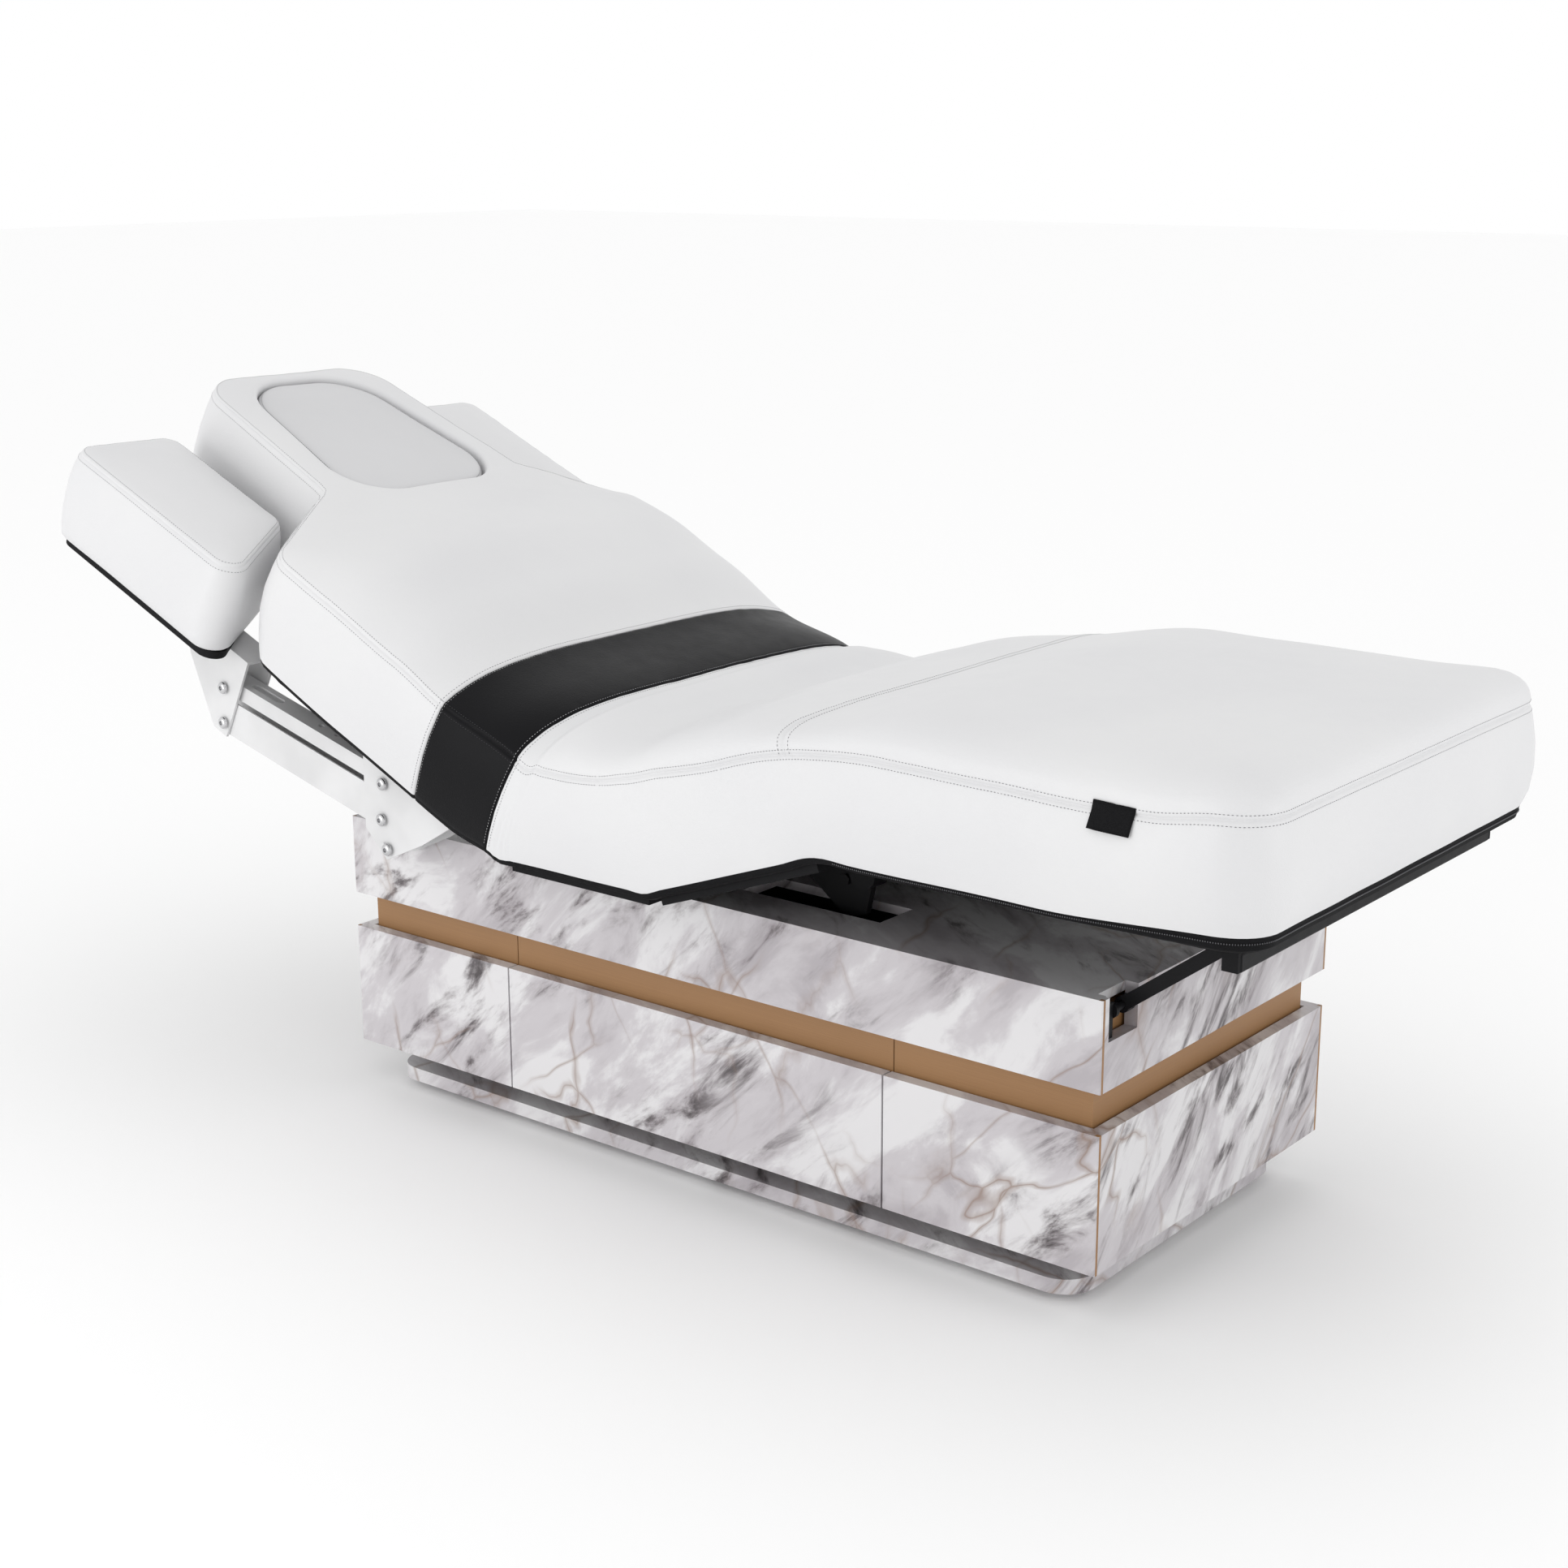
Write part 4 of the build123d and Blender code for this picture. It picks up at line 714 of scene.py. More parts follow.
class Shell:
    """Vertices and faces of one cover, flat, with how far each vertex lies from a seam."""

    def __init__(self):
        self.points = []
        self.gaps = []
        self.faces = []
        self.edging = set()

    def add(self, points, gaps=1.0):
        start = len(self.points)
        self.points.extend(np.asarray(points, float))
        self.gaps.extend(np.broadcast_to(gaps, len(points)))
        return list(range(start, len(self.points)))

    def flat(self, indices):
        return np.array([self.points[i][:2] for i in indices])

    def strip(self, low, high, closed, edging=False):
        count = len(low)
        for i in range(count if closed else count - 1):
            j = (i + 1) % count
            if edging:
                self.edging.add(len(self.faces))
            self.faces.append((low[i], low[j], high[j], high[i]))

    def fill(self, border, step, height, holes=(), creases=()):
        # Closes the area inside a border with triangles of an even size
        flat = self.flat(border)
        low, high = flat.min(0), flat.max(0)
        columns = np.arange(low[0] + step / 2, high[0], step)
        rows = np.arange(low[1] + step / 2, high[1], step * TRIANGLE_ROWS)
        grid = np.stack(np.meshgrid(columns, rows), -1)
        grid[1::2, :, 0] += step / 2
        grid = grid.reshape(-1, 2)
        lines = [loop + loop[:1] for loop in (border, *holes)] + list(creases)
        hole_loops = [self.flat(hole) for hole in holes]

        def within(spots):
            good = inside(spots, flat)
            for loop in hole_loops:
                good &= ~inside(spots, loop)
            return good

        grid = grid[within(grid)]
        for line in lines:
            at = self.flat(line)
            grid = grid[gap_to(grid, at[:-1], at[1:]).min(1) > step * LINE_GAP]
        inner = self.add(np.c_[grid, height(grid)])
        index = sorted({i for line in lines for i in line}) + inner
        number = {i: k for k, i in enumerate(index)}
        edges = [(number[a], number[b]) for line in lines for a, b in zip(line, line[1:])]
        flat_points = [Vector(spot) for spot in self.flat(index)]
        spots, _, faces, origins, _, _ = delaunay_2d_cdt(flat_points, edges, [], 0, 1e-8)
        middles = np.array([np.mean([spots[i] for i in face], axis=0) for face in faces])
        for face, keep in zip(faces, within(middles)):
            if keep:
                self.faces.append(tuple(index[origins[i][0]] for i in face))


# Rows above the seam, by their distance from it along the surface
ROW_ARCS = (0.0008, 0.0018, 0.0032, 0.0055, 0.0090, 0.0140, 0.0200, 0.0270, 0.0360, 0.0470)
# Insets between which those distances are measured, dense at the seam
ARC_INSETS = SEAM_IN + 0.070 * np.linspace(0, 1, 90) ** 3
# From this inset on, and wholly after the next stretch, a row lies on the top panel as it is
PANEL_FROM = 0.018
PANEL_STRETCH = 0.010

# Threads
STITCH_PITCH = 0.0046
STITCH_LENGTH = 0.0034
STITCH_HALF = 0.00045
STITCH_OFF_SEAM = 0.0060
STITCH_INSET = 0.0094
STITCH_SUNK = 0.4
# How far the stitches beside the waist band, and those at the band's own edges, lie from the cut
EDGE_STITCHES = 0.0055
BAND_STITCHES = 0.0040
STITCH_FACES = (
    (0, 2, 4), (2, 1, 4), (1, 3, 4), (3, 0, 4), (2, 0, 5), (1, 2, 5), (3, 1, 5), (0, 3, 5),
)


def insets_at(t, arcs):
    # For each place along the mattress, the insets at the given distances above the seam
    levels = crown_height(t[:, None], ARC_INSETS[None])
    steps = np.hypot(np.diff(ARC_INSETS)[None], np.diff(levels, axis=1))
    runs = np.c_[np.zeros(len(t)), np.cumsum(steps, 1)]
    return np.stack([np.interp(arcs, run, ARC_INSETS) for run in runs])


def mattress_row(path, normal, insets):
    # A row above the seam
    at = path + normal * insets[:, None]
    nominal = crown_height(at[:, 0], insets)
    share = ease((insets - PANEL_FROM) / PANEL_STRETCH)
    return np.c_[at, nominal + (mattress_top(at) - nominal) * share]


def mattress_rows(path, arcs):
    # All rows of a side of the mattress, from the foot of its cover to the edge of the top panel
    normal = left_of(path, False)
    insets = insets_at(path[:, 0], arcs)
    rows = [mattress_side(path, normal, *row) for row in SIDE_ROWS]
    return rows + [mattress_row(path, normal, column) for column in insets.T]


def add_side(shell, rows, seam_row, closed=False, edging=0):
    # Rows as strips of faces, each vertex knowing its distance from the seam
    rows = np.array(rows)
    run = np.cumsum(np.linalg.norm(np.diff(rows, axis=0), axis=2), 0)
    run = np.vstack([np.zeros((1, rows.shape[1])), run])
    run -= run[seam_row]
    indices = [shell.add(row, gap) for row, gap in zip(rows, run)]
    for k, (low, high) in enumerate(zip(indices, indices[1:])):
        shell.strip(low, high, closed, k < edging)
    return indices


def across(shell, first, last, place, height):
    # A line of vertices over the top or the base, from one side's row to the other's
    a, b = shell.points[first], shell.points[last]
    count = max(4, int(round(abs(b[1] - a[1]) / PATH_STEP)))
    y = np.linspace(a[1], b[1], count + 1)[1:-1]
    flat = np.c_[place(y), y]
    return [first] + shell.add(np.c_[flat, height(flat)]) + [last]


def base_height(flat):
    return np.full(len(flat), SIDE_ROWS[0][1])


# How far the seam over the knee bows, and over how much of the half width
KNEE_BOW = 0.014
KNEE_BOW_HALF = 0.330


def knee_seam(y):
    # Where the seam over the knee runs
    return KNEE_AT - KNEE_BOW + KNEE_BOW * np.clip(1 - (y / KNEE_BOW_HALF) ** 2, 0, 1)


def groove(gap):
    # A sewn seam: a narrow valley between two soft puffs
    valley = GROOVE_DEPTH * np.exp(-(gap / GROOVE_HALF) ** 2)
    puff = SEAM_PUFF * np.exp(-((gap - SEAM_PUFF_AT) / SEAM_PUFF_HALF) ** 2)
    return puff - valley


def wander(points, pitch):
    # A smooth random value at each point
    return np.array([noise.noise(Vector(point) / pitch) for point in points])


def gathers(away, gaps, points):
    # Soft upright folds on the side where a cover is gathered beside the band
    below = ease_between(-gaps, *GATHER_BELOW)
    uneven = wander(points, 2 * GATHER_PITCH)
    folds = np.cos(2 * math.pi * away / GATHER_PITCH + GATHER_WANDER * uneven)
    folds *= 0.7 + GATHER_UNEVEN * uneven
    return GATHER_DEPTH * folds * below * np.exp(-np.maximum(away, 0) / GATHER_REACH)


class Cover:
    """A closed cover in the row frame, with stitches and trims on it."""

    def __init__(self, name, shell, caps, edges=(), knee=False, gather=None):
        self.name = name
        flat = np.array(shell.points)
        points = bend(flat)
        mesh = bmesh.new()
        verts = [mesh.verts.new(point) for point in points]
        mesh.verts.index_update()
        faces = [mesh.faces.new([verts[i] for i in face]) for face in shell.faces]
        cap_faces = [mesh.faces.new([verts[i] for i in cap]) for cap in caps]
        bmesh.ops.recalc_face_normals(mesh, faces=mesh.faces)
        self.faces = [tuple(v.index for v in face.verts) for face in faces]
        self.edging = shell.edging
        self.caps = [tuple(v.index for v in face.verts) for face in cap_faces]
        normals = np.zeros_like(points)
        for face in faces:
            push = np.array(face.normal) * face.calc_area()
            for vert in face.verts:
                normals[vert.index] += push
        mesh.free()
        normals /= np.maximum(np.linalg.norm(normals, axis=1), 1e-12)[:, None]
        push = self.relief(flat, points, np.array(shell.gaps), edges, knee)
        if gather is not None:
            push += gathers(flat[:, 0] - gather, np.array(shell.gaps), points)
        self.points = points + normals * push[:, None]
        self.tree = BVHTree.FromPolygons([Vector(p) for p in self.points], self.faces)
        self.extra_points = []
        self.extra_faces = []
        self.extra_looks = []

    def relief(self, flat, points, gaps, edges, knee):
        # Grooves, puffs and puckers at the seams, and soft waves everywhere
        near = np.abs(gaps)
        push = groove(near)
        if knee:
            off = np.abs(flat[:, 0] - knee_seam(flat[:, 1]))
            above = gaps > -0.0005
            push += np.where(above, groove(off), 0)
            near = np.where(above, np.minimum(near, off), near)
        for edge in edges:
            off = np.abs(flat[:, 0] - edge)
            push -= EDGE_DIP * np.exp(-off / EDGE_DIP_HALF)
            near = np.minimum(near, off)
        pucker = wander(points, PUCKER_PITCH) * np.exp(-near / PUCKER_REACH)
        return push + PUCKER_DEPTH * pucker + WAVE_DEPTH * wander(points, WAVE_PITCH)

    def add(self, points, faces, look):
        start = len(self.extra_points)
        self.extra_points.extend(points)
        self.extra_faces.extend(tuple(start + i for i in face) for face in faces)
        self.extra_looks.extend([look] * len(faces))

    def on_surface(self, row, pitch):
        # Places along a flat row, each with its normal, its direction and the one aside
        world = bend(row)
        places = np.arange(0.5, int(lengths(world)[-1] / pitch)) * pitch
        spots = resample(world, places)
        ahead = resample(world, places + pitch * 0.1)
        for spot, head in zip(spots, ahead):
            at, normal, _, _ = self.tree.find_nearest(Vector(spot))
            along = Vector(head - spot)
            along = (along - normal * along.dot(normal)).normalized()
            yield at, normal, along, normal.cross(along)

    def stitches(self, row, look=1, pitch=STITCH_PITCH, length=STITCH_LENGTH, half=STITCH_HALF):
        # Short threads along a flat row
        for at, normal, along, aside in self.on_surface(row, pitch):
            middle = at + normal * half * STITCH_SUNK
            reach = along * length / 2
            corners = (
                middle + reach, middle - reach, middle + aside * half, middle - aside * half,
                middle + normal * half, middle - normal * half,
            )
            self.add(corners, STITCH_FACES, look)

    def sew_seams(self, paths, look=1):
        # Stitches along both sides of the seam of each path
        for path in paths:
            for row in seam_rows(path):
                self.stitches(row, look)

    def build(self, looks):
        # The Blender object, with one material slot for each look
        points = np.vstack([self.points, np.array(self.extra_points).reshape(-1, 3)])
        count = len(self.points)
        shell_faces = self.faces + self.caps
        faces = shell_faces + [tuple(count + i for i in face) for face in self.extra_faces]
        mesh = bpy.data.meshes.new(self.name)
        mesh.from_pydata(points.tolist(), [], faces)
        edging_look = len(looks) - 1
        shell_looks = [edging_look if k in self.edging else 0 for k in range(len(shell_faces))]
        mesh.polygons.foreach_set("material_index", shell_looks + self.extra_looks)
        mesh.polygons.foreach_set("use_smooth", [True] * len(faces))
        for look in looks:
            mesh.materials.append(materials[look])
        rims = [edge for cap in self.caps for edge in zip(cap, cap[1:] + cap[:1])]
        sharp = {tuple(sorted(edge)) for edge in rims}
        marks = [tuple(sorted(edge.vertices)) in sharp for edge in mesh.edges]
        mesh.attributes.new("sharp_edge", "BOOLEAN", "EDGE").data.foreach_set("value", marks)
        mesh.update()
        return add_object(self.name, mesh)


SEAM_ROW = len(SIDE_ROWS) - 1
# How far from the middle a line over the top is matched with the rows of the sides
CREASE_Y = 0.35


def cut_loop(shell, sides, places, row, height):
    # The closed border of the top or the base: side rows joined by lines along the cuts
    border = []
    lines = []
    for side, following, place in zip(sides, sides[1:] + sides[:1], places):
        line = across(shell, side[row][-1], following[row][0], place, height)
        lines.append(line)
        border += side[row] + line[1:-1]
    return border, lines


def near_cut(cut, inward):
    # Places close to a cut, where its edge rolls in
    return [cut + inward * step for step in EDGE_STEPS]


def constant(t):
    return lambda y: np.full(len(y), t)


def crease_ends(shell, sides, place):
    # The vertices of the uppermost side rows between which a line over the top runs
    at = place(np.array([CREASE_Y]))[0]

    def off(i):
        return abs(shell.points[i][0] - at)

    first = min(sides[0][-1], key=off)
    y = shell.points[first][1]
    return first, min(sides[-1][-1][::-1], key=lambda i: off(i) + (shell.points[i][1] * y > 0))


def mattress_cover(
    name, paths, cuts, fine=(), edges=(), knee=False, hole=None, arcs=ROW_ARCS, gather=None
):
    # A cover between cuts across the mattress: its sides, top panel, base and cut faces
    shell = Shell()
    sides = [
        add_side(shell, mattress_rows(path, arcs), SEAM_ROW, False, EDGING_ROWS) for path in paths
    ]
    places = [constant(cut) for cut in cuts]
    top, top_lines = cut_loop(shell, sides, places, -1, mattress_top)
    base, base_lines = cut_loop(shell, sides, places, 0, base_height)
    creases = [
        across(shell, *crease_ends(shell, sides, place), place, mattress_top) for place in fine
    ]
    holes = [] if hole is None else [add_hole(shell, hole)]
    shell.fill(top, FILL_STEP, mattress_top, [h[0] for h in holes], creases)
    underside = len(shell.faces)
    shell.fill(base, BASE_STEP, base_height, [h[1] for h in holes])
    shell.edging.update(range(underside, len(shell.faces)))
    caps = []
    for side, following, upper, lower in zip(sides, sides[1:] + sides[:1], top_lines, base_lines):
        up = [row[-1] for row in side]
        down = [row[0] for row in following][::-1]
        caps.append(tuple(up + upper[1:-1] + down + lower[1:-1][::-1]))
    return Cover(name, shell, caps, edges, knee, gather)


def both_paths(ends, fine=()):
    # The near and the far side between two places, walked so that the cushion lies on the left
    path = np.array([(end, -HALF_WIDTH) for end in ends])
    path = resample(path, stations(path, PATH_STEP, [place - ends[0] for place in fine]))
    return path, path[::-1] * (1, -1)


def open_path(corners, rounds, fine):
    path = outline(corners, rounds, False)
    total = lengths(path)[-1]
    return resample(path, stations(path, PATH_STEP, list(fine) + [total - place for place in fine]))


def seam_rows(path):
    # The two rows of stitches along a side seam
    normal = left_of(path, False)
    below = mattress_side(path, normal, STITCH_INSET, SEAM_HEIGHT - STITCH_OFF_SEAM, 0)
    above = mattress_row(path, normal, insets_at(path[:, 0], [STITCH_OFF_SEAM])[:, 0])
    return below, above


# The row of the side from which a row over the whole mattress starts, and its points on top
SECTION_START = 5
SECTION_POINTS = 60


def section_row(t):
    # A row over the whole mattress at one place, from near to far below the seam
    t = np.array([t])
    halves = []
    for side in (-1, 1):
        path = np.array([[t[0], side * HALF_WIDTH]])
        normal = np.array([[0, -side]])
        half = [mattress_side(path, normal, *row)[0] for row in SIDE_ROWS[SECTION_START:]]
        insets = insets_at(t, ROW_ARCS)[0]
        half += [mattress_row(path, normal, np.array([inset]))[0] for inset in insets]
        halves.append(half)
    near, far = halves
    y = np.linspace(near[-1][1], far[-1][1], SECTION_POINTS)[1:-1]
    flat = np.c_[np.full(len(y), t[0]), y]
    middle = np.c_[flat, mattress_top(flat)]
    return np.vstack([near, middle, far[::-1]])


def direction(turn):
    # The way along a section that is turned
    return Vector((math.cos(turn), 0, math.sin(turn)))


def make_band():
    ends = (BAND_HEAD_AT, BAND_FOOT_AT)
    fine = near_cut(ends[0], 1) + near_cut(ends[1], -1)
    paths = both_paths(ends, fine)
    cover = mattress_cover(
        "waist_band_cover", paths, (ends[1], ends[0]), [constant(t) for t in fine], ends
    )
    for t in (ends[0] + BAND_STITCHES, ends[1] - BAND_STITCHES):
        cover.stitches(section_row(t))
    cover.sew_seams(paths, 2)
    obj = cover.build(("black_upholstery", "grey_thread", "dark_thread", "black_webbing"))
    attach(obj, "back")
    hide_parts("waist_band")


# Where the side of the seat is fine enough for its folds: start, end and step
GATHER_PLACES = (0.013, 0.110, 0.003)


def make_seat():
    ends = (BAND_FOOT_AT, SEAT_CUT_AT)
    fine = near_cut(ends[0], 1)
    folds = list(ends[0] + np.arange(*GATHER_PLACES))
    paths = both_paths(ends, fine + folds)
    cover = mattress_cover(
        "seat_cover", paths, (ends[1], ends[0]), [constant(t) for t in fine], ends[:1],
        gather=ends[0],
    )
    cover.stitches(section_row(ends[0] + EDGE_STITCHES))
    cover.sew_seams(paths)
    obj = cover.build(("white_upholstery", "white_thread", "black_webbing"))
    start = bend([(ends[0], 0, 0)])[0]
    toward = direction(BACK_TURN)
    Vector(start)
    Vector(start) + toward * 0.12
    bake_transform(obj)
    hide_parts("seat_cushion", "hip_fold")


def make_thigh():
    ends = (SEAT_CUT_AT, THIGH_CUT_AT)
    paths = both_paths(ends)
    cover = mattress_cover("thigh_cover", paths, (ends[1], ends[0]))
    cover.sew_seams(paths)
    obj = cover.build(("white_upholstery", "white_thread", "black_webbing"))
    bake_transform(obj)
    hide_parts("thigh_fold", "thigh_cushion")


# Fabric tag on the near side of the calf cover: corners by place and height, and how it stands off
TAG_TOP = ((0.938, 0.1400), (0.991, 0.1380))
TAG_DROP = 0.031
TAG_OVER = 0.012
TAG_LEAN = 0.003
TAG_STAND = (0.0008, 0.0042)
TAG_THICK = 0.0009
# How the tag curls outward down its length, and how its lower edge waves
TAG_CURL = 1.5
TAG_WAVE = 0.25
TAG_WAVE_TURN = 5
TAG_COLUMNS = 12
TAG_ROWS = 6


def add_tag(cover):
    # A folded tag, sewn in along its upper edge
    (start, start_height), (end, end_height) = TAG_TOP
    front = []
    back = []
    for share_down in np.linspace(0, 1, TAG_ROWS):
        for share in np.linspace(0, 1, TAG_COLUMNS):
            t = start + (end - start) * share - TAG_LEAN * share_down
            height = start_height + (end_height - start_height) * share - TAG_DROP * share_down
            spot = bend([(t, -HALF_WIDTH + TAG_OVER * (1 - share_down), height)])[0]
            at, normal, _, _ = cover.tree.find_nearest(Vector(spot))
            stand = TAG_STAND[0] + (TAG_STAND[1] - TAG_STAND[0]) * share_down ** TAG_CURL
            stand *= 1 + TAG_WAVE * math.sin(TAG_WAVE_TURN * share)
            back.append(at + normal * stand)
            front.append(at + normal * (stand + TAG_THICK))
    count = len(front)
    grid = np.arange(count).reshape(TAG_ROWS, TAG_COLUMNS)
    corners = (grid[:-1, :-1], grid[:-1, 1:], grid[1:, 1:], grid[1:, :-1])
    faces = []
    for quad in np.stack(corners, -1).reshape(-1, 4).tolist():
        faces.append(tuple(quad[::-1]))
        faces.append(tuple(count + i for i in quad))
    rim = np.r_[grid[0], grid[1:, -1], grid[-1, -2::-1], grid[-2:0:-1, 0]].tolist()
    for a, b in zip(rim, rim[1:] + rim[:1]):
        faces.append((a, b, count + b, count + a))
    cover.add(front + back, faces, 3)


# Zip in the edging of the calf cover: where it starts, the side row it lies on and its teeth
ZIP_AT = 0.580
ZIP_ROW = (0.0082, 0.0000, 1.0, 0.6)
ZIP_PITCH = 0.0030
ZIP_TOOTH = 0.0018
ZIP_HALF = 0.0013


def add_zip(cover, path):
    normal = left_of(path, False)
    row = mattress_side(path, normal, *ZIP_ROW)
    keep = [place for place in row if place[0] > ZIP_AT]
    cover.stitches(np.array(keep), 2, ZIP_PITCH, ZIP_TOOTH, ZIP_HALF)


KNEE_THREAD_POINTS = 300


def make_calf():
    near_side = ((THIGH_CUT_AT, -HALF_WIDTH), (FOOT_AT, -HALF_WIDTH))
    seam_at = knee_seam(np.array([HALF_WIDTH]))[0]
    fine = [seam_at - THIGH_CUT_AT + step for step in SEAM_STEPS]
    path = open_path(near_side + mirrored(near_side), (0, FOOT_ROUND, FOOT_ROUND, 0), fine)
    creases = [lambda y, step=step: knee_seam(y) + step for step in SEAM_STEPS]
    cover = mattress_cover("calf_cover", [path], (THIGH_CUT_AT,), creases, (), True)
    cover.sew_seams([path])
    y = SEAM_HALF * np.sin(np.linspace(-math.pi / 2, math.pi / 2, KNEE_THREAD_POINTS))
    for step in (-STITCH_OFF_SEAM, STITCH_OFF_SEAM):
        flat = np.c_[knee_seam(y) + step, y]
        cover.stitches(np.c_[flat, mattress_top(flat)])
    add_tag(cover)
    add_zip(cover, path)
    obj = cover.build(("white_upholstery", "white_thread", "zip_metal", "black_webbing"))
    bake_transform(obj)
    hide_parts("knee_fold", "calf_cushion")


# Hole and insert of the head piece
HOLE_HALF = ((-0.6135, 0.1595), (-0.9665, 0.1135))
HOLE_CORNERS = HOLE_HALF + mirrored(HOLE_HALF)
HOLE_ROUNDS = (0.0865, 0.0965, 0.0965, 0.0865)
HOLE_POINTS = 120
# How far each row of the wall stands out from the hole and lies below the top panel
LIP_ROWS = (
    (0.0001, 0.150), (0.0, 0.010), (0.0004, 0.006),
    (0.0016, 0.0030), (0.0040, 0.0010), (0.0075, 0.0),
)


def add_hole(shell, corners):
    # The wall of the hole in the head piece, from the base up to its rolled rim
    path = outline(*corners, True)
    path = resample(path, np.linspace(0, lengths(path)[-1], HOLE_POINTS + 1)[:-1])
    outward = -left_of(path, True)
    rows = [np.c_[path, base_height(path)]]
    for grow, sink in LIP_ROWS:
        at = path + outward * grow
        rows.append(np.c_[at, mattress_top(at) - sink])
    indices = [shell.add(row) for row in rows]
    for low, high in zip(indices, indices[1:]):
        shell.strip(high, low, True)
    return indices[-1], indices[0]


def make_back():
    path = open_path(BACK_CORNERS, BACK_ROUNDS, EDGE_STEPS)
    creases = [constant(t) for t in near_cut(BAND_HEAD_AT, -1)]
    cover = mattress_cover(
        "back_cover", [path], (BAND_HEAD_AT,), creases, (BAND_HEAD_AT,),
        hole=(HOLE_CORNERS, HOLE_ROUNDS), arcs=ROW_ARCS[:-3],
    )
    cover.stitches(section_row(BAND_HEAD_AT - EDGE_STITCHES))
    cover.sew_seams([path])
    obj = cover.build(("white_upholstery", "white_thread", "black_webbing"))
    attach(obj, "back")
    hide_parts("back_cushion", "head_cushion")


# Pads of the arm rests and the face insert: rows by inset and height above their own base
PAD_BASE = -0.026
PAD_ROUND = 0.038
PAD_FOOT_OUTER, PAD_FOOT_INNER, PAD_HEAD = -0.556, -0.684, -0.972
PAD_INNER, PAD_OUTER = 0.216, 0.416
PAD_ROWS = (
    (0.0150, 0.0005), (0.0090, 0.0010), (0.0050, 0.0050), (0.0022, 0.0200), (0.0004, 0.0450),
    (0.0, 0.0700), (0.0012, 0.0950), (0.0045, 0.1170), (0.0080, 0.1300), (0.0095, 0.1345),
    (0.0102, 0.1368), (0.0105, 0.1380),
    (0.0111, 0.1388), (0.0121, 0.1398), (0.0138, 0.1412), (0.0165, 0.1430), (0.0210, 0.1450),
    (0.0280, 0.1470), (0.0360, 0.1484),
)
PAD_SEAM_ROW = 11
PAD_CROWN = 0.1550
PAD_CROWN_SPAN = 0.060
PAD_CROWN_POWER = 2.5
PAD_STITCHES = ((0.0086, 0.1322), (0.0155, 0.1424))
INSERT_ROWS = (
    (0.0060, 0.0005), (0.0, 0.0100), (0.0, 0.1600), (0.0004, 0.1700), (0.0020, 0.1780),
    (0.0045, 0.1830), (0.0080, 0.1858), (0.0130, 0.1872), (0.0200, 0.1880),
)
INSERT_CROWN = 0.1930
INSERT_CROWN_SPAN = 0.110
INSERT_STITCHES = (0.0060, 0.1845)
INSERT_HALF = ((-0.615, 0.158), (-0.965, 0.112))
INSERT_CORNERS = INSERT_HALF + mirrored(INSERT_HALF)
INSERT_ROUNDS = (0.085, 0.095, 0.095, 0.085)


def ring_row(path, normal, inset, level):
    # A closed row round a pad
    row = np.c_[path + normal * inset, np.full(len(path), level)]
    return np.vstack([row, row[:1]])


def boxed_cover(name, corners, rounds, rows, seam_row, base, crown, span):
    # A closed pad with the same side all round
    path = outline(corners, rounds, True)
    places = np.linspace(0, lengths(path)[-1], int(lengths(path)[-1] / PAD_STEP))[:-1]
    path = resample(path, places)
    normal = left_of(path, True)
    plan = Plan(corners, rounds)
    last_inset, last_height = rows[-1]

    def height(flat):
        share = np.clip((plan.depth(flat) - last_inset) / span, 0, 1)
        return base + last_height + (crown - last_height) * (1 - (1 - share) ** PAD_CROWN_POWER)

    shell = Shell()
    flat_rows = [ring_row(path, normal, inset, base + level)[:-1] for inset, level in rows]
    side = add_side(shell, flat_rows, seam_row, True)
    shell.fill(side[-1], FILL_STEP, height)
    shell.fill(side[0], BASE_STEP, lambda flat: np.full(len(flat), base + rows[0][1]))
    return Cover(name, shell, ()), path, normal


def make_pads():
    corners = (
        (PAD_HEAD, -PAD_OUTER), (PAD_FOOT_OUTER, -PAD_OUTER),
        (PAD_FOOT_INNER, -PAD_INNER), (PAD_HEAD, -PAD_INNER),
    )
    for side, name in ((-1, "near"), (1, "far")):
        placed = corners if side < 0 else mirrored(corners)
        cover, path, normal = boxed_cover(
            f"arm_{name}_cover", placed, [PAD_ROUND] * 4, PAD_ROWS, PAD_SEAM_ROW,
            PAD_BASE, PAD_CROWN, PAD_CROWN_SPAN,
        )
        for inset, level in PAD_STITCHES:
            cover.stitches(ring_row(path, normal, inset, PAD_BASE + level))
        obj = cover.build(("white_upholstery", "white_thread"))
        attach(obj, f"arm_{name}_rest")
        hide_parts(f"arm_{name}_pad")


def make_insert():
    cover, path, normal = boxed_cover(
        "face_insert_cover", INSERT_CORNERS, INSERT_ROUNDS, INSERT_ROWS, 0,
        0.0, INSERT_CROWN, INSERT_CROWN_SPAN,
    )
    cover.stitches(ring_row(path, normal, *INSERT_STITCHES))
    # The insert takes the darker copy of the white upholstery, painted shade for its sunk top
    obj = cover.build(("insert_upholstery", "dark_thread"))
    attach(obj, "face_insert")
    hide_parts("face_insert")


def solid(name, points, faces, look, body):
    # A hard fitting that rides on one body
    mesh = bpy.data.meshes.new(name)
    mesh.from_pydata([tuple(point) for point in points], [], faces)
    mesh.materials.append(materials[look])
    shaped = bmesh.new()
    shaped.from_mesh(mesh)
    bmesh.ops.recalc_face_normals(shaped, faces=shaped.faces)
    shaped.to_mesh(mesh)
    shaped.free()
    obj = add_object(name, mesh)
    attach(obj, body)


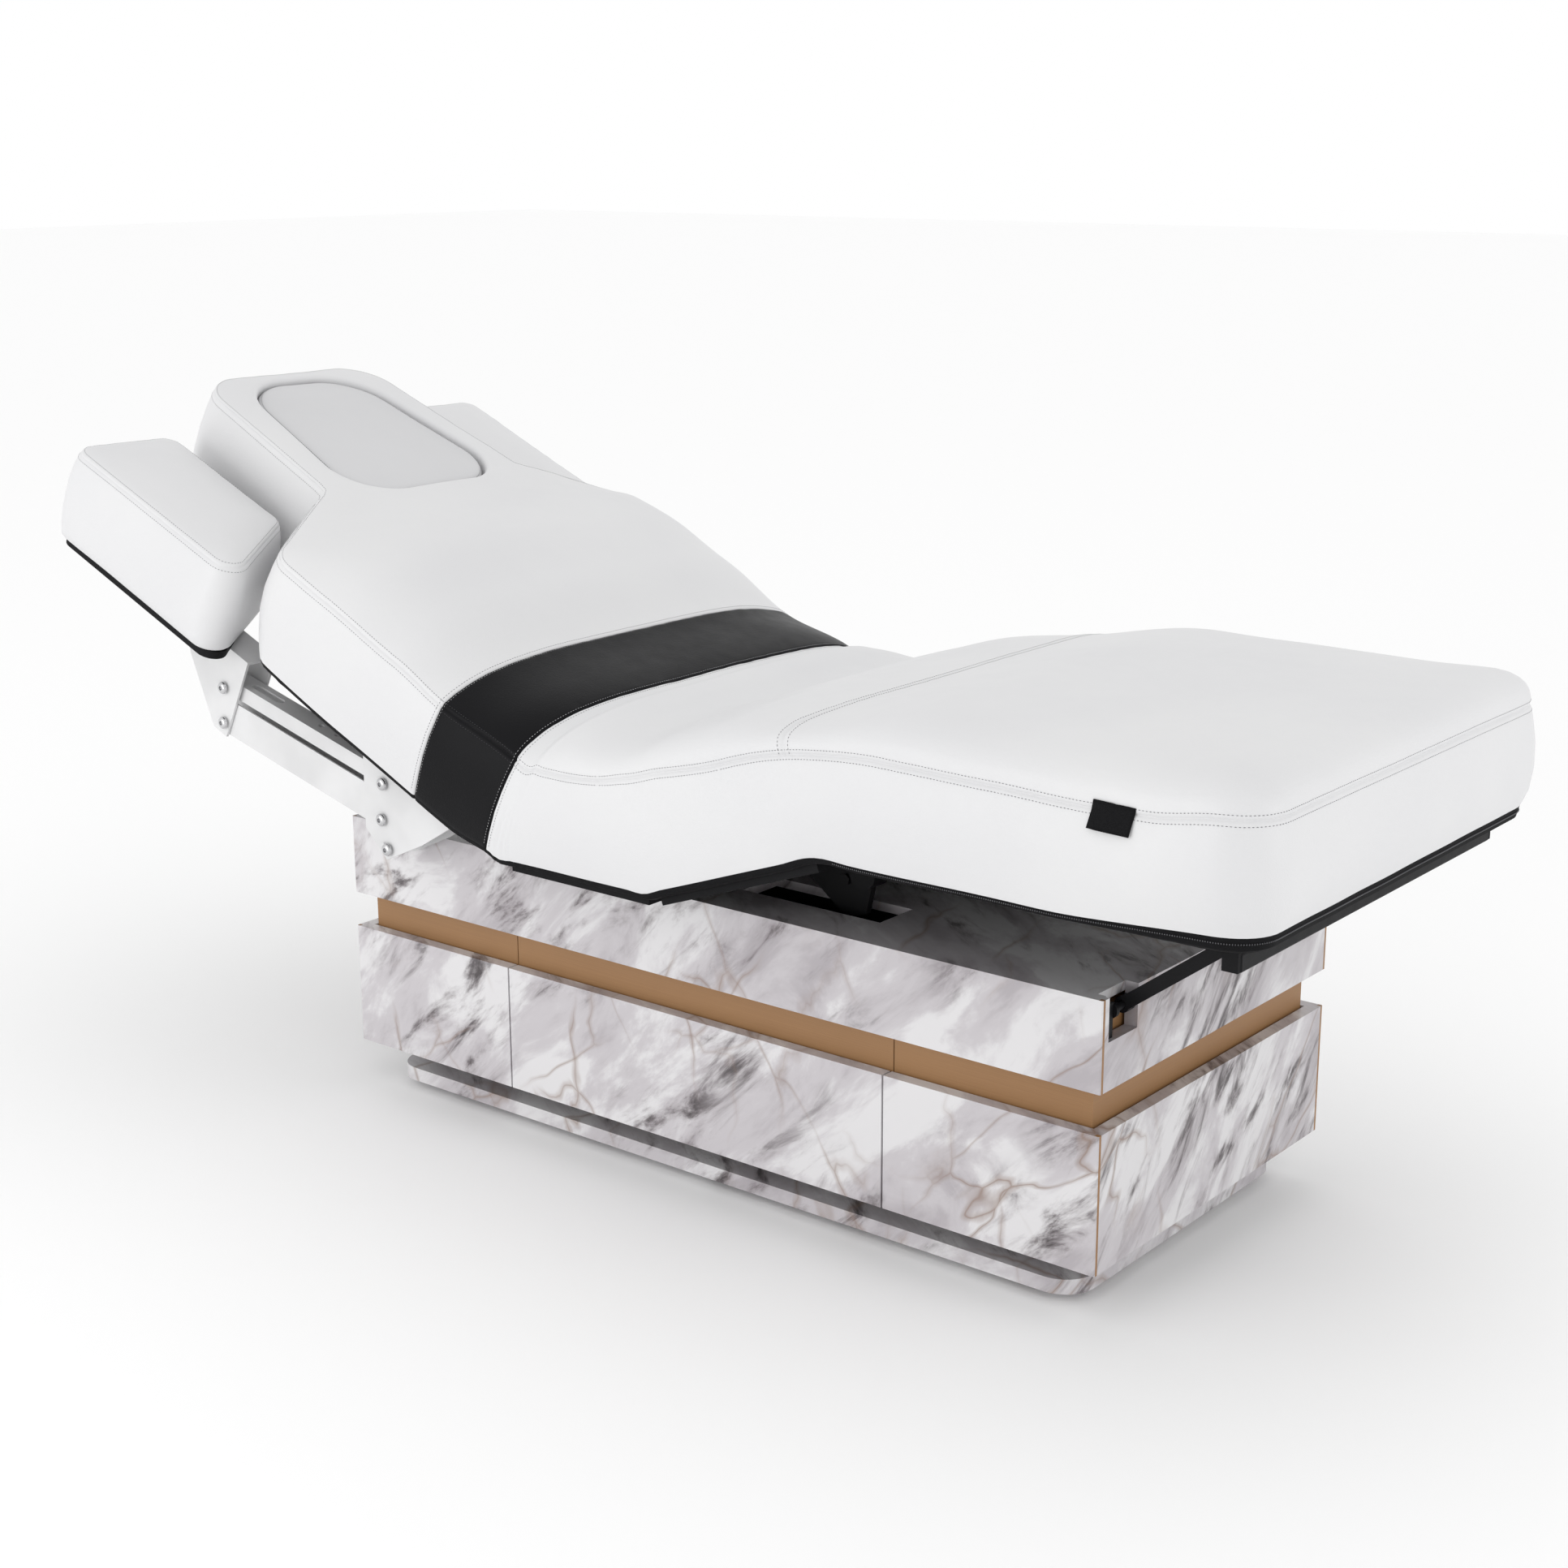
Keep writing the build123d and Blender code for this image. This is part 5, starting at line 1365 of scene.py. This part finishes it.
def bolt_head(center, axis):
    # Points and faces of a bolt head: rings of points, those of the socket with flat sides
    first = axis.orthogonal().normalized()
    second = axis.cross(first)
    points = []
    for radius, height, flat in BOLT_RINGS:
        for k in range(BOLT_POINTS):
            angle = 2 * math.pi * k / BOLT_POINTS
            reach = radius
            if flat:
                step = 2 * math.pi / SOCKET_SIDES
                reach = radius * math.cos(step / 2) / math.cos(angle % step - step / 2)
            way = first * math.cos(angle) + second * math.sin(angle)
            points.append(center + way * reach + axis * height)
    rings = np.arange(len(points)).reshape(len(BOLT_RINGS), BOLT_POINTS).tolist()
    faces = []
    for low, high in zip(rings, rings[1:]):
        faces += zip(low, low[1:] + low[:1], high[1:] + high[:1], high)
    return points, faces + [rings[0][::-1], rings[-1]]


# Domed bolt heads with a hexagon socket: radius and height of each ring, and if it has flat sides
BOLT_RINGS = (
    (0.0092, -0.0006, False), (0.0092, 0.0006, False), (0.0084, 0.0022, False),
    (0.0068, 0.0036, False), (0.0050, 0.0043, False), (0.0036, 0.0045, True), (0.0034, 0.0014, True),
)
BACK_ALONG = Vector((-math.cos(-BACK_TURN), 0, math.sin(-BACK_TURN)))
BACK_UP = Vector((math.sin(-BACK_TURN), 0, math.cos(-BACK_TURN)))
PLATE_FACE = 0.350
BOLT_POINTS = 24
SOCKET_SIDES = 6
# Place along the back and below its hinge line for each bolt, with the bodies of the two sides
ARM_BOLTS = (
    ("base_upper", 0.2582, -0.0406, "back"),
    ("base_lower", 0.2412, -0.0909, "back"),
    ("base_nut", 0.2158, -0.1256, "back"),
    ("end_upper", 0.6043, -0.0915, "arm_{}_rest"),
    ("end_lower", 0.5868, -0.1422, "arm_{}_rest"),
)


def back_place(along, across_at, up):
    # A point in the frame of the raised back
    return Vector((HIP_HINGE[0], across_at, HIP_HINGE[1])) + BACK_ALONG * along + BACK_UP * up


def make_bolts():
    for side, word in ((-1, "near"), (1, "far")):
        for name, along, up, body in ARM_BOLTS:
            center = back_place(along, side * PLATE_FACE, up)
            points, faces = bolt_head(center, Vector((0, side, 0)))
            body_name = body.format(word)
            solid(f"bolt_{word}_{name}", points, faces, "bright_steel", body_name)


def rounded_bar(low, high, bevel):
    # A box with bevelled edges
    shaped = bmesh.new()
    bmesh.ops.create_cube(shaped, size=1)
    for vert in shaped.verts:
        vert.co = [high[i] if vert.co[i] > 0 else low[i] for i in range(3)]
    bmesh.ops.bevel(shaped, geom=shaped.edges[:], offset=bevel, segments=2, profile=0.5, affect="EDGES")
    shaped.verts.index_update()
    points = [vert.co.copy() for vert in shaped.verts]
    faces = [tuple(vert.index for vert in face.verts) for face in shaped.faces]
    shaped.free()
    return points, faces


FOOT_BAR = ((0.818, -0.327, 0.501), (0.836, 0.327, 0.523))
BAR_BEVEL = 0.002


def make_foot_bar():
    # Frame tube under the foot end of the calf board
    points, faces = rounded_bar(*FOOT_BAR, BAR_BEVEL)
    solid("foot_bar", points, faces, "black_steel", "calf")


make_bolts()
make_foot_bar()
make_band()
make_seat()
make_thigh()
make_calf()
make_back()
make_pads()
make_insert()
